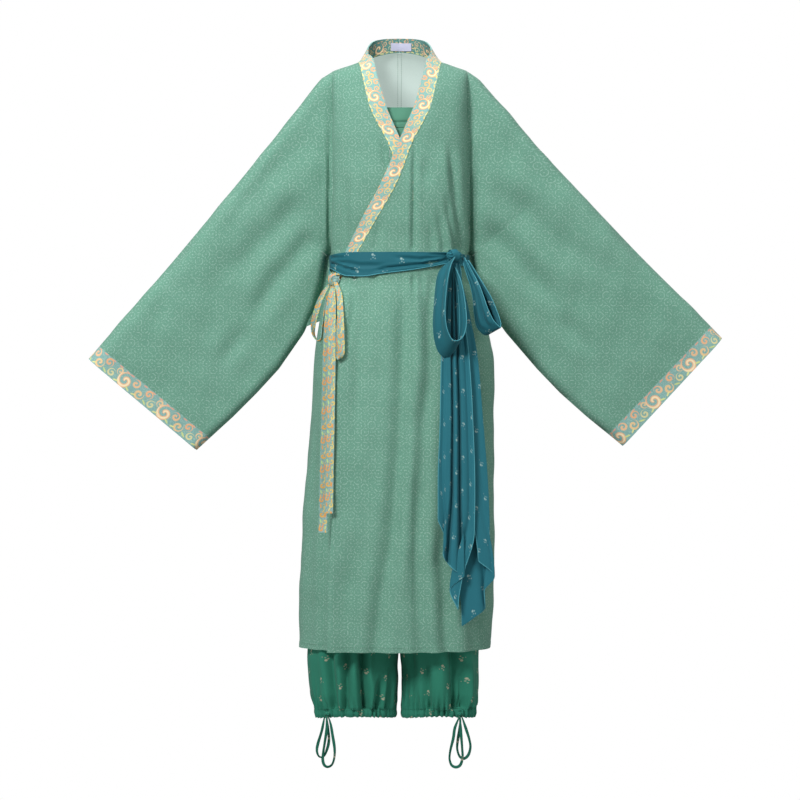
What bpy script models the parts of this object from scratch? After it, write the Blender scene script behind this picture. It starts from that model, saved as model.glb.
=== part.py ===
"""Hanfu robe set: cross-collar robe with wide sleeves, its sash and side ties, a camisole
and drawstring trousers, worn and filled out. Left and right are the wearer's.

Metres. +Z is up, the front faces -Y and the wearer's left is +X. The origin lies on the
shoulder line, midway between the shoulders, where the wearer carries the robe.
"""
import math

import bmesh
import bpy
import numpy as np

CLOTH = 0.0016          # wall of one cloth layer
DOUBLE = 0.0024         # wall of a folded band
SEAM = 0.0003           # gap between two pieces at a seam
NECK_SEAM = 0.0006      # the same beside the slanting collar band, along x
WAIST = -0.384          # where the sash holds the robe in
HEM = -1.183            # robe hem
CENTRE_SEAM = 0.027     # centre-front seam lies a little to the wearer's left
SHOULDER_RADIUS = 0.15  # height over which the chest swells out from the shoulder line
EDGE_RADIUS = 0.03      # the same for the crease between the body and the sleeve
SLOPE_REACH = 0.10      # below this the rows are level, above it they follow the shoulder
NECK_HALF = 0.0855      # shoulder line starts here
NECK_TOP = 0.006        # height of the neck points
SHOULDER_SLOPE = 0.356  # fall of the shoulder line for each metre outwards
NAPE_RISE = 0.0312      # the nape stands above the neck points
NAPE_DEPTH = 0.078      # and this far behind them
UNDER_SUNK = 0.0034     # face of the under front, behind the face of the outer one on it
UNDER_FADE = 0.012      # width beside the crease over which the under front sinks
SECTION_STEPS = 90      # steps round a quarter of a level's outline

# One row for each level of the body: half widths to the wearer's right and left, depth at the
# centre front, how much shallower the under front hangs, the half width that the outer front
# heads for on the right, depth at the centre back, depth where the sleeve joins, squareness.
LEVEL_COLUMNS = ("z", "right", "left", "front", "drop", "wrap", "back", "edge", "square")
LEVELS = (
    (0.020, 0.1355, 0.1360, 0.100, 0.0000, 0.1355, 0.080, 0.034, 2.5),
    (-0.08, 0.1352, 0.1365, 0.103, 0.0000, 0.1352, 0.084, 0.036, 2.5),
    (-0.16, 0.1350, 0.1368, 0.107, 0.0000, 0.1350, 0.086, 0.036, 2.5),
    (-0.24, 0.1352, 0.1370, 0.110, 0.0000, 0.1352, 0.084, 0.034, 2.5),
    (-0.31, 0.1365, 0.1372, 0.106, 0.0000, 0.1365, 0.080, 0.025, 2.5),
    (-0.36, 0.1380, 0.1380, 0.100, 0.0000, 0.1380, 0.077, 0.010, 2.5),
    (WAIST, 0.1385, 0.1385, 0.099, 0.0000, 0.1385, 0.076, 0.0, 2.5),
    (-0.434, 0.1385, 0.1385, 0.099, 0.0000, 0.1385, 0.076, 0.0, 2.5),
    (-0.47, 0.1500, 0.1580, 0.106, 0.0030, 0.170, 0.084, 0.0, 2.5),
    (-0.52, 0.1630, 0.1760, 0.113, 0.0060, 0.205, 0.092, 0.0, 2.5),
    (-0.60, 0.1740, 0.1900, 0.119, 0.0100, 0.235, 0.099, 0.0, 2.5),
    (-0.70, 0.1790, 0.1905, 0.122, 0.0130, 0.255, 0.104, 0.0, 2.5),
    (-0.82, 0.1885, 0.1905, 0.124, 0.0160, 0.265, 0.108, 0.0, 2.5),
    (-0.95, 0.1970, 0.1905, 0.125, 0.0180, 0.270, 0.110, 0.0, 2.5),
    (-1.08, 0.2030, 0.1900, 0.125, 0.0200, 0.270, 0.112, 0.0, 2.5),
    (HEM, 0.2030, 0.1830, 0.124, 0.0210, 0.270, 0.112, 0.0, 2.5),
)

# The neckline where the collar band is sewn on, on the wearer's left side: distance down,
# the seam's x and the free edge's x. The right side mirrors it about NECKLINE_CENTRE.
NECKLINE_CENTRE = 0.001
NECKLINE_COLUMNS = ("down", "seam", "free")
NECKLINE = (
    (0.000, 0.0865, 0.0640),
    (0.012, 0.0825, 0.0560),
    (0.045, 0.0750, 0.0470),
    (0.093, 0.0625, 0.0295),
    (0.128, 0.0465, 0.0145),
    (0.163, 0.0275, -0.0005),
    (0.243, -0.0030, -0.0348),
    (0.330, -0.0520, -0.0815),
    (0.384, -0.0830, -0.1085),
    (0.428, -0.1080, -0.1290),
)
# Free edge of the outer front below the sash.
OVERLAP_COLUMNS = ("down", "x")
OVERLAP = (
    (0.428, -0.1085), (0.450, -0.1270), (0.520, -0.1265), (0.640, -0.1258),
    (0.854, -0.1310), (0.950, -0.1362), (1.066, -0.1434), (1.183, -0.1444),
)
UNDER_SEAM = -0.0200     # centre seam of the under front
UNDER_END = 0.0900       # where the under front stops, below the outer one

TORSO_ROWS = (0.0, 0.005, 0.016, 0.036, 0.070, 0.120, 0.172, 0.245, 0.310, 0.360, 0.384)
SKIRT_ROWS = (0.409, 0.434, 0.470, 0.520, 0.600, 0.740, 0.900, 1.050, 1.183)

# Sleeves in their own plane: along runs from the shoulder bend down the top fold, drop runs
# across to the lower fold. The lower fold's rows start just outside the underarm.
SLEEVES = {
    "right": {
        "sign": -1.0, "bend": (0.1600, -0.0265), "angle": 50.2, "underarm": (0.1500, -0.3860),
        "seam": 0.2817, "cuff_seam": 0.7060, "end": 0.7410,
        "lower": ((0.3227, 0.2700), (0.3671, 0.2895), (0.4201, 0.3046), (0.5092, 0.3124),
                  (0.5756, 0.3092), (0.6446, 0.3029), (0.7129, 0.2935), (0.7435, 0.2895)),
    },
    "left": {
        "sign": 1.0, "bend": (0.1620, -0.0265), "angle": 46.65, "underarm": (0.1500, -0.3860),
        "seam": 0.2640, "cuff_seam": 0.6890, "end": 0.7240,
        "lower": ((0.3000, 0.2920), (0.3519, 0.3068), (0.4144, 0.3152), (0.5113, 0.3197),
                  (0.5790, 0.3191), (0.6525, 0.3127), (0.7130, 0.3045), (0.7451, 0.3005)),
    },
}
SLEEVE_FULL = 0.040     # half depth of the sleeve below the arm, at the sleeve seam
CUFF_FULL = 0.030       # and at the cuff
SLEEVE_STEPS = 5
INNER_STEPS = 3

# Collar round the neck, on the wearer's left: angle round the neck from the nape, and where
# the free edge stands. The sewn edge follows the neckline itself.
# Columns: angle, free_x, free_y, free_z.
COLLAR = (
    (0.0, 0.0000, 0.0800, 0.0685),
    (20.0, 0.0280, 0.0755, 0.0670),
    (42.0, 0.0490, 0.0610, 0.0620),
    (62.0, 0.0610, 0.0400, 0.0515),
    (80.0, 0.0655, 0.0130, 0.0375),
    (92.0, 0.0645, -0.0120, 0.0235),
)
NECK_STEPS = len(COLLAR) - 1
BAND_ENDS = {"left": 0.409, "right": 0.360}   # how far down each band runs
BAND_LIFT = 0.0010      # face of the collar band above the front that it edges
BAND_SUNK = 0.0036      # how far the under band sinks to pass below the outer front

# Trouser legs: half width over both legs, front and back depth, and how far the middle of
# each leg has moved out from the body's centre.
LEG_COLUMNS = ("z", "half", "front", "back", "out", "centre")
LEGS = (
    (-0.4126, 0.1315, 0.0916, 0.0692, 0.0, 0.000),
    (-0.440, 0.1320, 0.0912, 0.0700, 0.0, 0.000),
    (-0.480, 0.1400, 0.0900, 0.0800, 0.0, -0.002),
    (-0.560, 0.1520, 0.0900, 0.0880, 0.0, -0.005),
    (-0.640, 0.1620, 0.0880, 0.0900, 0.0, -0.008),
    (-0.700, 0.1640, 0.0860, 0.0880, 0.050, -0.010),
    (-0.750, 0.1650, 0.0830, 0.0850, 0.0825, -0.011),
    (-0.900, 0.1680, 0.0800, 0.0800, 0.0860, -0.012),
    (-1.060, 0.1730, 0.0790, 0.0780, 0.0885, -0.013),
    (-1.190, 0.1740, 0.0780, 0.0760, 0.0895, -0.013),
    (-1.270, 0.1700, 0.0760, 0.0730, 0.0885, -0.011),
    (-1.297, 0.1640, 0.0720, 0.0690, 0.0855, -0.009),
)
CASING = ((-1.2974, 0.0), (-1.3080, 0.0012), (-1.3190, -0.0030))   # z, how far it stands out
LEG_STEPS = 14

# The waist from the outside in: what lies there, and how far its face is from the body's.
WAIST_STEPS = 22
SASH_OUT, BELT_IN, CAMISOLE_WALL = 0.0046, -0.0064, 0.0012
BELT_ROWS = (0.372, 0.392, 0.4122)

CAMISOLE_COLUMNS = ("z", "half", "front", "back")
CAMISOLE = (
    (-0.0946, 0.1080, 0.0800, 0.0660),
    (-0.1240, 0.1120, 0.0860, 0.0680),
    (-0.1245, 0.1120, 0.0860, 0.0680),
    (-0.1700, 0.1180, 0.0910, 0.0700),
    (-0.2400, 0.1210, 0.0940, 0.0700),
    (-0.3100, 0.1230, 0.0910, 0.0680),
    (-0.3660, 0.1270, 0.0880, 0.0660),
)

# Sash: where along the front (x), its upper and lower edge. It is plain round the back.
SASH_COLUMNS = ("x", "top", "bottom")
SASH = (
    (-0.1400, -0.3880, -0.4150), (-0.1050, -0.3850, -0.4320), (-0.0720, -0.3855, -0.4335),
    (-0.0370, -0.3858, -0.4285), (0.0250, -0.3858, -0.4210), (0.0650, -0.3862, -0.4140),
    (0.1000, -0.3870, -0.4080), (0.1400, -0.3880, -0.4120),
)
SASH_BACK = (-0.3880, -0.4320)

# Straps: their middle from the front of the camisole's band over the shoulder to the back.
# Columns: x, y, z, tilt.
STRAP = (
    (0.0850, -0.0568, -0.0943, 0.0), (0.0880, -0.0545, -0.0500, 0.0), (0.0920, -0.0380, -0.0200, 0.20),
    (0.0945, -0.0190, -0.0060, 0.36), (0.0950, 0.0000, -0.0013, 0.36), (0.0945, 0.0190, -0.0058, 0.36),
    (0.0920, 0.0360, -0.0200, 0.20), (0.0880, 0.0480, -0.0500, 0.0), (0.0850, 0.0470, -0.0943, 0.0),
)
STRAP_HALF = 0.006
CAMISOLE_STEPS = 10
CAMISOLE_BAND_END = -0.1242

LABEL = {"first": -0.0178, "last": 0.0243, "bottom": 0.0425, "top": 0.0590, "wall": 0.0008, "tilt": -0.0012}

# Knots: centre, half sizes along its length, through it and upwards, and its turn about Z.
KNOTS = {
    "sash_knot": ((0.1096, -0.0898, -0.3925), (0.0210, 0.0100, 0.0105), 33.6),
    "tie_knot": ((-0.1299, -0.0642, -0.4395), (0.0150, 0.0110, 0.0125), -54.0),
    "drawstring_knot_right": ((-0.1452, -0.0612, -1.3120), (0.0065, 0.0042, 0.0042), -38.0),
    "drawstring_knot_left": ((0.1205, -0.0640, -1.3120), (0.0065, 0.0042, 0.0042), 29.0),
}
KNOT_GAP = 0.0004
# Where each strip leaves its knot: a direction in the knot's own frame.
LEAVES = {
    "sash_loop_front": ("sash_knot", (-0.45, -0.55, -0.70)),
    "sash_loop_side": ("sash_knot", (0.95, -0.10, -0.25)),
    "sash_tail_front": ("sash_knot", (-0.10, -0.10, -1.0)),
    "sash_tail_side": ("sash_knot", (0.30, 0.05, -1.0)),
    "tie_loop_side": ("tie_knot", (-0.90, -0.10, -0.40)),
    "tie_loop_front": ("tie_knot", (0.75, -0.55, -0.45)),
    "tie_tail_long": ("tie_knot", (-0.40, -0.10, -1.0)),
    "tie_tail_short": ("tie_knot", (0.12, -0.30, -1.0)),
    "drawstring_short_right": ("drawstring_knot_right", (-0.60, -0.10, -0.80)),
    "drawstring_long_right": ("drawstring_knot_right", (0.20, -0.45, -0.85)),
    "drawstring_long_left": ("drawstring_knot_left", (-0.50, -0.45, -0.80)),
    "drawstring_short_left": ("drawstring_knot_left", (0.55, -0.10, -0.80)),
}

# Bow loops and narrow ties: the middle of the ribbon and half its width as a vector.
# Columns: x, y, z, half_x, half_y, half_z.
RIBBONS = {
    "sash_loop_front": (
        (0.0870, -0.1330, -0.4350, 0.0050, -0.0110, 0.0030),
        (0.0785, -0.1440, -0.5150, 0.0065, -0.0140, 0.0060),
        (0.0900, -0.1450, -0.5580, 0.0070, -0.0150, 0.0090),
        (0.1050, -0.1450, -0.5790, 0.0065, -0.0150, 0.0100),
        (0.1150, -0.1440, -0.5810, 0.0060, -0.0140, 0.0100),
        (0.1245, -0.1420, -0.5590, 0.0060, -0.0120, 0.0070),
        (0.1265, -0.1380, -0.5190, 0.0050, -0.0090, 0.0040),
        (0.1185, -0.1270, -0.4570, 0.0030, -0.0060, 0.0020),
        (0.1085, -0.1120, -0.4180, 0.0020, -0.0040, 0.0),
    ),
    "sash_loop_side": (
        (0.1440, -0.1000, -0.4280, 0.0080, 0.0010, 0.0030),
        (0.1565, -0.1120, -0.4620, 0.0110, 0.0, 0.0020),
        (0.1680, -0.1150, -0.5000, 0.0190, 0.0, 0.0030),
        (0.1780, -0.1130, -0.5320, 0.0250, 0.0, 0.0040),
        (0.1800, -0.1030, -0.5460, 0.0200, 0.0, 0.0030),
        (0.1780, -0.0940, -0.5320, 0.0240, 0.0, 0.0040),
        (0.1680, -0.0930, -0.5000, 0.0180, 0.0, 0.0030),
        (0.1560, -0.0900, -0.4620, 0.0100, 0.0, 0.0020),
        (0.1455, -0.0850, -0.4300, 0.0070, 0.0010, 0.0030),
    ),
    "tie_loop_side": (
        (-0.1530, -0.0720, -0.4650, 0.0060, 0.0010, 0.0025),
        (-0.1640, -0.0800, -0.5000, 0.0062, 0.0, 0.0018),
        (-0.1720, -0.0800, -0.5380, 0.0064, 0.0, 0.0010),
        (-0.1700, -0.0770, -0.5640, 0.0064, 0.0, -0.0020),
        (-0.1650, -0.0700, -0.5650, 0.0060, 0.0, -0.0020),
        (-0.1610, -0.0670, -0.5380, 0.0062, 0.0, 0.0010),
        (-0.1570, -0.0660, -0.5000, 0.0060, 0.0, 0.0),
    ),
    "tie_loop_front": (
        (-0.1230, -0.0950, -0.4680, 0.0062, 0.0, 0.0),
        (-0.1200, -0.1080, -0.4950, 0.0068, 0.0, 0.0),
        (-0.1180, -0.1180, -0.5330, 0.0072, 0.0, 0.0),
        (-0.1165, -0.1230, -0.5700, 0.0075, 0.0, 0.0),
        (-0.1165, -0.1230, -0.5940, 0.0075, 0.0, 0.0),
        (-0.1165, -0.1180, -0.5985, 0.0075, 0.0, 0.0),
        (-0.1170, -0.1150, -0.5880, 0.0070, 0.0, 0.0),
        (-0.1185, -0.1125, -0.5550, 0.0068, 0.0, 0.0),
        (-0.1200, -0.1040, -0.5200, 0.0066, 0.0, 0.0),
    ),
    "tie_tail_long": (
        (-0.1400, -0.0860, -0.4900, 0.0075, 0.0, 0.0),
        (-0.1430, -0.1000, -0.5400, 0.0080, 0.0, 0.0),
        (-0.1450, -0.1080, -0.6100, 0.0083, 0.0, 0.0),
        (-0.1480, -0.1160, -0.7500, 0.0085, 0.0, 0.0),
        (-0.1510, -0.1200, -0.8800, 0.0085, 0.0, 0.0),
        (-0.1522, -0.1220, -0.9443, 0.0085, 0.0, 0.0),
    ),
    "tie_tail_short": (
        (-0.1340, -0.0890, -0.4680, 0.0060, 0.0, 0.0),
        (-0.1342, -0.0990, -0.4950, 0.0078, 0.0, 0.0),
        (-0.1345, -0.1100, -0.5400, 0.0080, 0.0, 0.0),
        (-0.1350, -0.1190, -0.6100, 0.0083, 0.0, 0.0),
        (-0.1372, -0.1250, -0.7500, 0.0083, 0.0, 0.0),
        (-0.1390, -0.1280, -0.8500, 0.0083, 0.0, 0.0),
        (-0.1398, -0.1290, -0.9057, 0.0083, 0.0, 0.0),
    ),
}

# Sash tails: height at the left and right edge, the edges' x, depth, and depth of the pleats.
# Columns: z_left, z_right, left, right, y, fold.
TAILS = {
    "sash_tail_front": (
        (-0.4350, -0.4350, 0.0985, 0.1175, -0.1035, 0.0014),
        (-0.5000, -0.5000, 0.0900, 0.1260, -0.1160, 0.0032),
        (-0.6000, -0.6000, 0.0830, 0.1380, -0.1240, 0.0050),
        (-0.7200, -0.7200, 0.0805, 0.1450, -0.1290, 0.0050),
        (-0.8500, -0.8500, 0.0765, 0.1490, -0.1310, 0.0050),
        (-0.9300, -0.9500, 0.0790, 0.1480, -0.1320, 0.0050),
        (-0.9850, -1.0750, 0.0900, 0.1380, -0.1330, 0.0040),
    ),
    "sash_tail_side": (
        (-0.4350, -0.4350, 0.1130, 0.1270, -0.0970, 0.0008),
        (-0.5000, -0.5000, 0.1180, 0.1380, -0.1030, 0.0018),
        (-0.6000, -0.6000, 0.1230, 0.1560, -0.1110, 0.0028),
        (-0.7200, -0.7200, 0.1300, 0.1660, -0.1140, 0.0035),
        (-0.8500, -0.8500, 0.1350, 0.1760, -0.1160, 0.0035),
        (-0.9600, -0.9600, 0.1300, 0.1810, -0.1180, 0.0035),
        (-1.0400, -1.0350, 0.1220, 0.1880, -0.1190, 0.0035),
        (-1.1270, -1.0950, 0.1273, 0.1700, -0.1220, 0.0030),
    ),
}
TAIL_PLEATS = 6
TAIL_START = 0.0072      # width gathered into the knot

# Drawstring loops: the way each lace runs from its knot and back, x, y and z.
LACE_RADIUS = 0.0013
LACES = {
    "drawstring_short_right": (
        (-0.1560, -0.0650, -1.3450), (-0.1640, -0.0650, -1.3720),
        (-0.1660, -0.0650, -1.3860), (-0.1625, -0.0650, -1.3965), (-0.1560, -0.0645, -1.3990),
        (-0.1500, -0.0635, -1.3940), (-0.1435, -0.0615, -1.3760), (-0.1420, -0.0595, -1.3600),
        (-0.1440, -0.0585, -1.3420), (-0.1460, -0.0590, -1.3250),
    ),
    "drawstring_long_right": (
        (-0.1461, -0.0690, -1.3400), (-0.1495, -0.0700, -1.3650),
        (-0.1530, -0.0700, -1.3880), (-0.1540, -0.0700, -1.4040), (-0.1505, -0.0700, -1.4145),
        (-0.1430, -0.0700, -1.4175), (-0.1350, -0.0700, -1.4120), (-0.1308, -0.0690, -1.3980),
        (-0.1305, -0.0680, -1.3800), (-0.1345, -0.0670, -1.3543), (-0.1385, -0.0655, -1.3320),
    ),
    "drawstring_long_left": (
        (0.1110, -0.0700, -1.3400), (0.1080, -0.0700, -1.3600),
        (0.1020, -0.0700, -1.3850), (0.1005, -0.0700, -1.4020), (0.1050, -0.0700, -1.4145),
        (0.1140, -0.0700, -1.4180), (0.1225, -0.0700, -1.4130), (0.1265, -0.0700, -1.3980),
        (0.1258, -0.0695, -1.3800), (0.1238, -0.0690, -1.3543), (0.1215, -0.0690, -1.3240),
    ),
    "drawstring_short_left": (
        (0.1330, -0.0640, -1.3400), (0.1400, -0.0640, -1.3620),
        (0.1425, -0.0640, -1.3790), (0.1380, -0.0640, -1.3950), (0.1290, -0.0635, -1.4020),
        (0.1205, -0.0625, -1.3970), (0.1160, -0.0610, -1.3820), (0.1175, -0.0600, -1.3640),
        (0.1210, -0.0600, -1.3430), (0.1225, -0.0610, -1.3250),
    ),
}
LACE_STEP = 0.0065      # two and a half thicknesses

GREEN, TEAL, DEEP = (0.17, 0.38, 0.28), (0.023, 0.16, 0.21), (0.026, 0.18, 0.11)
BAND, INNER, WHITE = (0.27, 0.47, 0.43), (0.09, 0.30, 0.20), (0.80, 0.80, 0.78)


AXIS_X, AXIS_Y, AXIS_Z = (1.0, 0.0, 0.0), (0.0, 1.0, 0.0), (0.0, 0.0, 1.0)
ALL = slice(None)


def clear_scene():
    for thing in list(bpy.data.objects):
        bpy.data.objects.remove(thing, do_unlink=True)


def read(table, columns, column, at):
    """A table's column at a value of its first column, on a smooth curve through the rows."""
    rows = sorted(table)
    keys = [row[0] for row in rows]
    values = [row[columns.index(column)] for row in rows]
    if at <= keys[0]:
        return values[0]
    if at >= keys[-1]:
        return values[-1]
    slopes = [(values[i + 1] - values[i]) / (keys[i + 1] - keys[i]) for i in range(len(keys) - 1)]
    i = max(k for k in range(len(keys) - 1) if keys[k] <= at)

    def tangent(k):
        if k == 0:
            return slopes[0]
        if k == len(keys) - 1:
            return slopes[-1]
        before, after = slopes[k - 1], slopes[k]
        return 0.0 if before * after <= 0 else 2 * before * after / (before + after)

    span = keys[i + 1] - keys[i]
    t = (at - keys[i]) / span
    return (
        (2 * t**3 - 3 * t**2 + 1) * values[i]
        + (t**3 - 2 * t**2 + t) * span * tangent(i)
        + (3 * t**2 - 2 * t**3) * values[i + 1]
        + (t**3 - t**2) * span * tangent(i + 1)
    )


def level(down, column):
    return read(LEVELS, LEVEL_COLUMNS, column, -down)


def rise(down, radius):
    """How far a rounded edge has swelled out, from 0 at the edge to 1 past its radius."""
    left = max(0.0, 1.0 - down / radius)
    return math.sqrt(1.0 - left * left)


def shoulder(x):
    """Height of the shoulder line at x, and behind the neck the height of the nape seam."""
    beside = abs(x - NECKLINE_CENTRE)
    if beside < NECK_HALF:
        return NECK_TOP + NAPE_RISE * (1.0 - (beside / NECK_HALF) ** 2)
    return NECK_TOP - (beside - NECK_HALF) * SHOULDER_SLOPE


def nape(x):
    beside = min(abs(x - NECKLINE_CENTRE) / NECK_HALF, 1.0)
    return NAPE_DEPTH * math.sqrt(1.0 - beside * beside)


def section(down, face):
    """One row of the body, from the wearer's right to the left: x, depth and z of its points."""
    square, edge = level(down, "square"), level(down, "edge")
    swell = level(down, "back" if face == "back" else "front") - edge
    swell -= level(down, "drop") if face == "under" else 0.0
    right = level(down, "wrap" if face == "outer" else "right")
    left = level(down, "left")
    points = []
    for step in range(-SECTION_STEPS, SECTION_STEPS + 1):
        angle = math.radians(90.0 * step / SECTION_STEPS)
        x = math.copysign((right if step < 0 else left) * abs(math.sin(angle)) ** (2 / square), step)
        risen = rise(down, SHOULDER_RADIUS)
        depth = edge * rise(down, EDGE_RADIUS) + swell * max(math.cos(angle), 0.0) ** (2 / square) * risen
        if face == "back":
            depth += nape(x) * (1.0 - risen)
        z = shoulder(x) * max(0.0, 1.0 - down / SLOPE_REACH) - down
        points.append((x, depth if face == "back" else -depth, z))
    return np.array(points)


def moved_out(points, distance):
    """Points of a level row moved along the row's own normals, away from the body."""
    ahead = np.gradient(points[:, :2], axis=0)
    ahead /= np.maximum(np.linalg.norm(ahead, axis=1), 1e-9)[:, None]
    normal = np.stack([ahead[:, 1], -ahead[:, 0]], axis=1)
    facing = -1.0 if points[:, 1].mean() < 0 else 1.0
    normal *= np.sign(normal[:, 1].sum() * facing) or 1.0
    out = points.copy()
    out[:, :2] += normal * np.broadcast_to(distance, len(points))[:, None]
    return out


def spaced(points, first, last, count):
    """The stretch of a row between two x values, as count steps of equal length."""
    length = np.concatenate([[0], np.cumsum(np.linalg.norm(np.diff(points, axis=0), axis=1))])
    ends = np.interp([first, last], points[:, 0], length)
    at = np.linspace(ends[0], ends[1], count + 1)
    return np.stack([np.interp(at, length, points[:, k]) for k in range(3)], axis=1)


def front_row(down, first, last, count, face):
    points = section(down, face)
    if face == "under":
        inside = (points[:, 0] + level(down, "right")) / UNDER_FADE
        fade = np.clip(inside, 0.0, 1.0) * min(1.0, down / 0.050)
        points = moved_out(points, -UNDER_SUNK * fade)
    return spaced(points, first, last, count)


def neck_x(side):
    """Where the collar's rows meet the back's top edge."""
    sign = SLEEVES[side]["sign"]
    turns = [math.radians(min(row[0], 90.0)) for row in COLLAR]
    return [NECKLINE_CENTRE + sign * NECK_HALF * math.sin(turn) for turn in turns]


def back_row(down, first, last, count, side):
    """A row of the back whose columns fall on the collar's rows as far as the shoulder."""
    points = section(down, "back")
    at = neck_x(side)
    at[0] = last if side == "right" else first
    if side == "right":
        neck = at[::-1]
        wing = spaced(points, first, neck[0], count - NECK_STEPS)[:-1]
    else:
        neck = at
        wing = spaced(points, neck[-1], last, count - NECK_STEPS)[1:]
    middle = np.stack([neck] + [np.interp(neck, points[:, 0], points[:, k]) for k in (1, 2)], axis=1)
    return np.concatenate([wing, middle] if side == "right" else [middle, wing])


def on_front(x, down, lift):
    """A point on the outer front, lifted off it."""
    row = moved_out(section(down, "front"), lift)
    return np.array([x, np.interp(x, row[:, 0], row[:, 1]), np.interp(x, row[:, 0], row[:, 2])])


def neckline(down, column, side):
    x = read(NECKLINE, NECKLINE_COLUMNS, column, down)
    return x if side == "left" else 2 * NECKLINE_CENTRE - x


def new_material(name, colour, roughness=0.85):
    material = bpy.data.materials.new(name)
    material.use_nodes = True
    shader = material.node_tree.nodes["Principled BSDF"]
    shader.inputs["Base Color"].default_value = (*colour, 1.0)
    shader.inputs["Roughness"].default_value = roughness
    shader.inputs["Metallic"].default_value = 0.0
    return material


def cloth(name, patches, wall, material):
    """One piece: its outer face from grids of points that may share edges, and a wall behind it.

    A patch is (grid, flip, locks). A lock names an edge of the grid, an axis that the wall
    there must not lean along, so that two pieces meet squarely at their seam, and the slice
    of the edge's points that it holds for. An axis of None lies across the edge, seen from
    the front.
    """
    points, found, faces, locks = [], {}, [], []
    for grid, flip, edges in patches:
        rows, columns = len(grid), len(grid[0])
        index = np.zeros((rows, columns), int)
        for r in range(rows):
            for c in range(columns):
                key = tuple(np.round(grid[r][c], 6))
                if key not in found:
                    found[key] = len(points)
                    points.append(np.array(grid[r][c], float))
                index[r, c] = found[key]
        for r in range(rows - 1):
            for c in range(columns - 1):
                face = [index[r, c], index[r + 1, c], index[r + 1, c + 1], index[r, c + 1]]
                face = list(dict.fromkeys(face))
                if len(face) > 2:
                    faces.append(face[::-1] if flip else face)
        line = {"top": index[0], "bottom": index[-1], "first": index[:, 0], "last": index[:, -1]}
        for edge, axis, stretch in edges:
            path = line[edge]
            across = np.cross(np.gradient(np.array([points[i] for i in path]), axis=0), AXIS_Y)
            for k in range(len(path))[stretch]:
                locks.append((int(path[k]), np.array(axis) if axis is not None else across[k]))
    points = np.array(points)
    normals = np.zeros_like(points)
    for face in faces:
        across, down = points[face[2]] - points[face[0]], points[face[-1]] - points[face[1]]
        for i in face:
            normals[i] += np.cross(across, down)
    for i, axis in locks:
        normals[i] -= axis * normals[i].dot(axis) / max(axis.dot(axis), 1e-12)
    normals /= np.maximum(np.linalg.norm(normals, axis=1), 1e-12)[:, None]
    inner = points - normals * wall
    count = len(points)
    edges = {}
    for face in faces:
        for i, start in enumerate(face):
            edges[(start, face[(i + 1) % len(face)])] = True
    shell = list(faces) + [[i + count for i in reversed(face)] for face in faces]
    shell += [[b, a, a + count, b + count] for a, b in edges if (b, a) not in edges]
    mesh = bpy.data.meshes.new(name)
    mesh.from_pydata([tuple(p) for p in np.concatenate([points, inner])], [], shell)
    mesh.materials.append(material)
    mesh.update()
    piece = bpy.data.objects.new(name, mesh)
    bpy.context.collection.objects.link(piece)
    mesh.shade_smooth()
    mesh.set_sharp_from_angle(angle=math.radians(50))
    return piece


def sleeve_axis(side):
    turn = math.radians(SLEEVES[side]["angle"])
    return np.array([math.cos(turn) * SLEEVES[side]["sign"], 0.0, -math.sin(turn)])


def in_sleeve(side, along, drop):
    """A point of the sleeve's own plane, as x away from the body and z."""
    turn = math.radians(SLEEVES[side]["angle"])
    x, z = SLEEVES[side]["bend"]
    return np.array([x + along * math.cos(turn) - drop * math.sin(turn),
                     z - along * math.sin(turn) - drop * math.cos(turn)])


def along_line(line, share):
    length = np.concatenate([[0], np.cumsum(np.linalg.norm(np.diff(line, axis=0), axis=1))])
    return np.array([np.interp(share * length[-1], length, line[:, k]) for k in range(line.shape[1])])


def sleeve_depth(fall, full, face):
    """Half depth of a sleeve at a share of the way from its top fold to its lower fold."""
    swell = rise(fall, 0.12) * (1.0 - 0.55 * fall) * rise(1.0 - fall, 0.0625)
    return full * swell * (0.85 if face == "back" else 1.0)


def falls():
    return [down / TORSO_ROWS[-1] for down in TORSO_ROWS]


def inner_sleeve(side, face):
    """The part of the sleeve that is cut in one with the body, out to the sleeve seam."""
    arm = SLEEVES[side]
    forward = 1.0 if face == "back" else -1.0
    grid = []
    top = np.array([(level(0.0, side), shoulder(level(0.0, side))), arm["bend"],
                    in_sleeve(side, arm["seam"], 0.0)])
    bottom = np.array([(level(-WAIST, side), WAIST), arm["underarm"]])
    for down, fall in zip(TORSO_ROWS, falls()):
        row = section(down, face)
        crease = row[0 if side == "right" else -1]
        base = top[0] + (bottom[0] - top[0]) * fall
        points = []
        for step in range(INNER_STEPS + 1):
            share = step / INNER_STEPS
            head, foot = along_line(top, share), along_line(bottom, share)
            x, z = head + (foot - head) * fall
            x += (abs(crease[0]) - base[0]) * (1.0 - share)
            z += (crease[2] - base[1]) * (1.0 - share)
            depth = abs(crease[1]) * (1.0 - share) + sleeve_depth(fall, SLEEVE_FULL, face) * share
            depth += 0.020 * math.sin(math.pi * share) * fall * (1.0 - fall)
            points.append((x * arm["sign"], depth * forward, z))
        points[0] = tuple(crease)
        grid.append(points)
    return seam_open(np.array(grid), forward)


def seam_open(grid, forward, edges=("top", "bottom")):
    """Half a seam's gap between front and back, on the rows where they meet."""
    for edge in edges:
        grid[0 if edge == "top" else -1, :, 1] += forward * SEAM / 2
    return grid


def sleeve_ring(side, share, full):
    arm = SLEEVES[side]
    lower = np.array([arm["underarm"]] + [in_sleeve(side, a, d) for a, d in arm["lower"]])
    head = in_sleeve(side, arm["seam"] + (arm["end"] - arm["seam"]) * share, 0.0)
    foot = along_line(lower, share)
    ring = []
    for face, forward, order in (("front", -1.0, falls()), ("back", 1.0, falls()[-2::-1])):
        for fall in order:
            x, z = head + (foot - head) * fall
            ring.append((x * arm["sign"], sleeve_depth(fall, full, face) * forward, z))
    return ring


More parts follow.
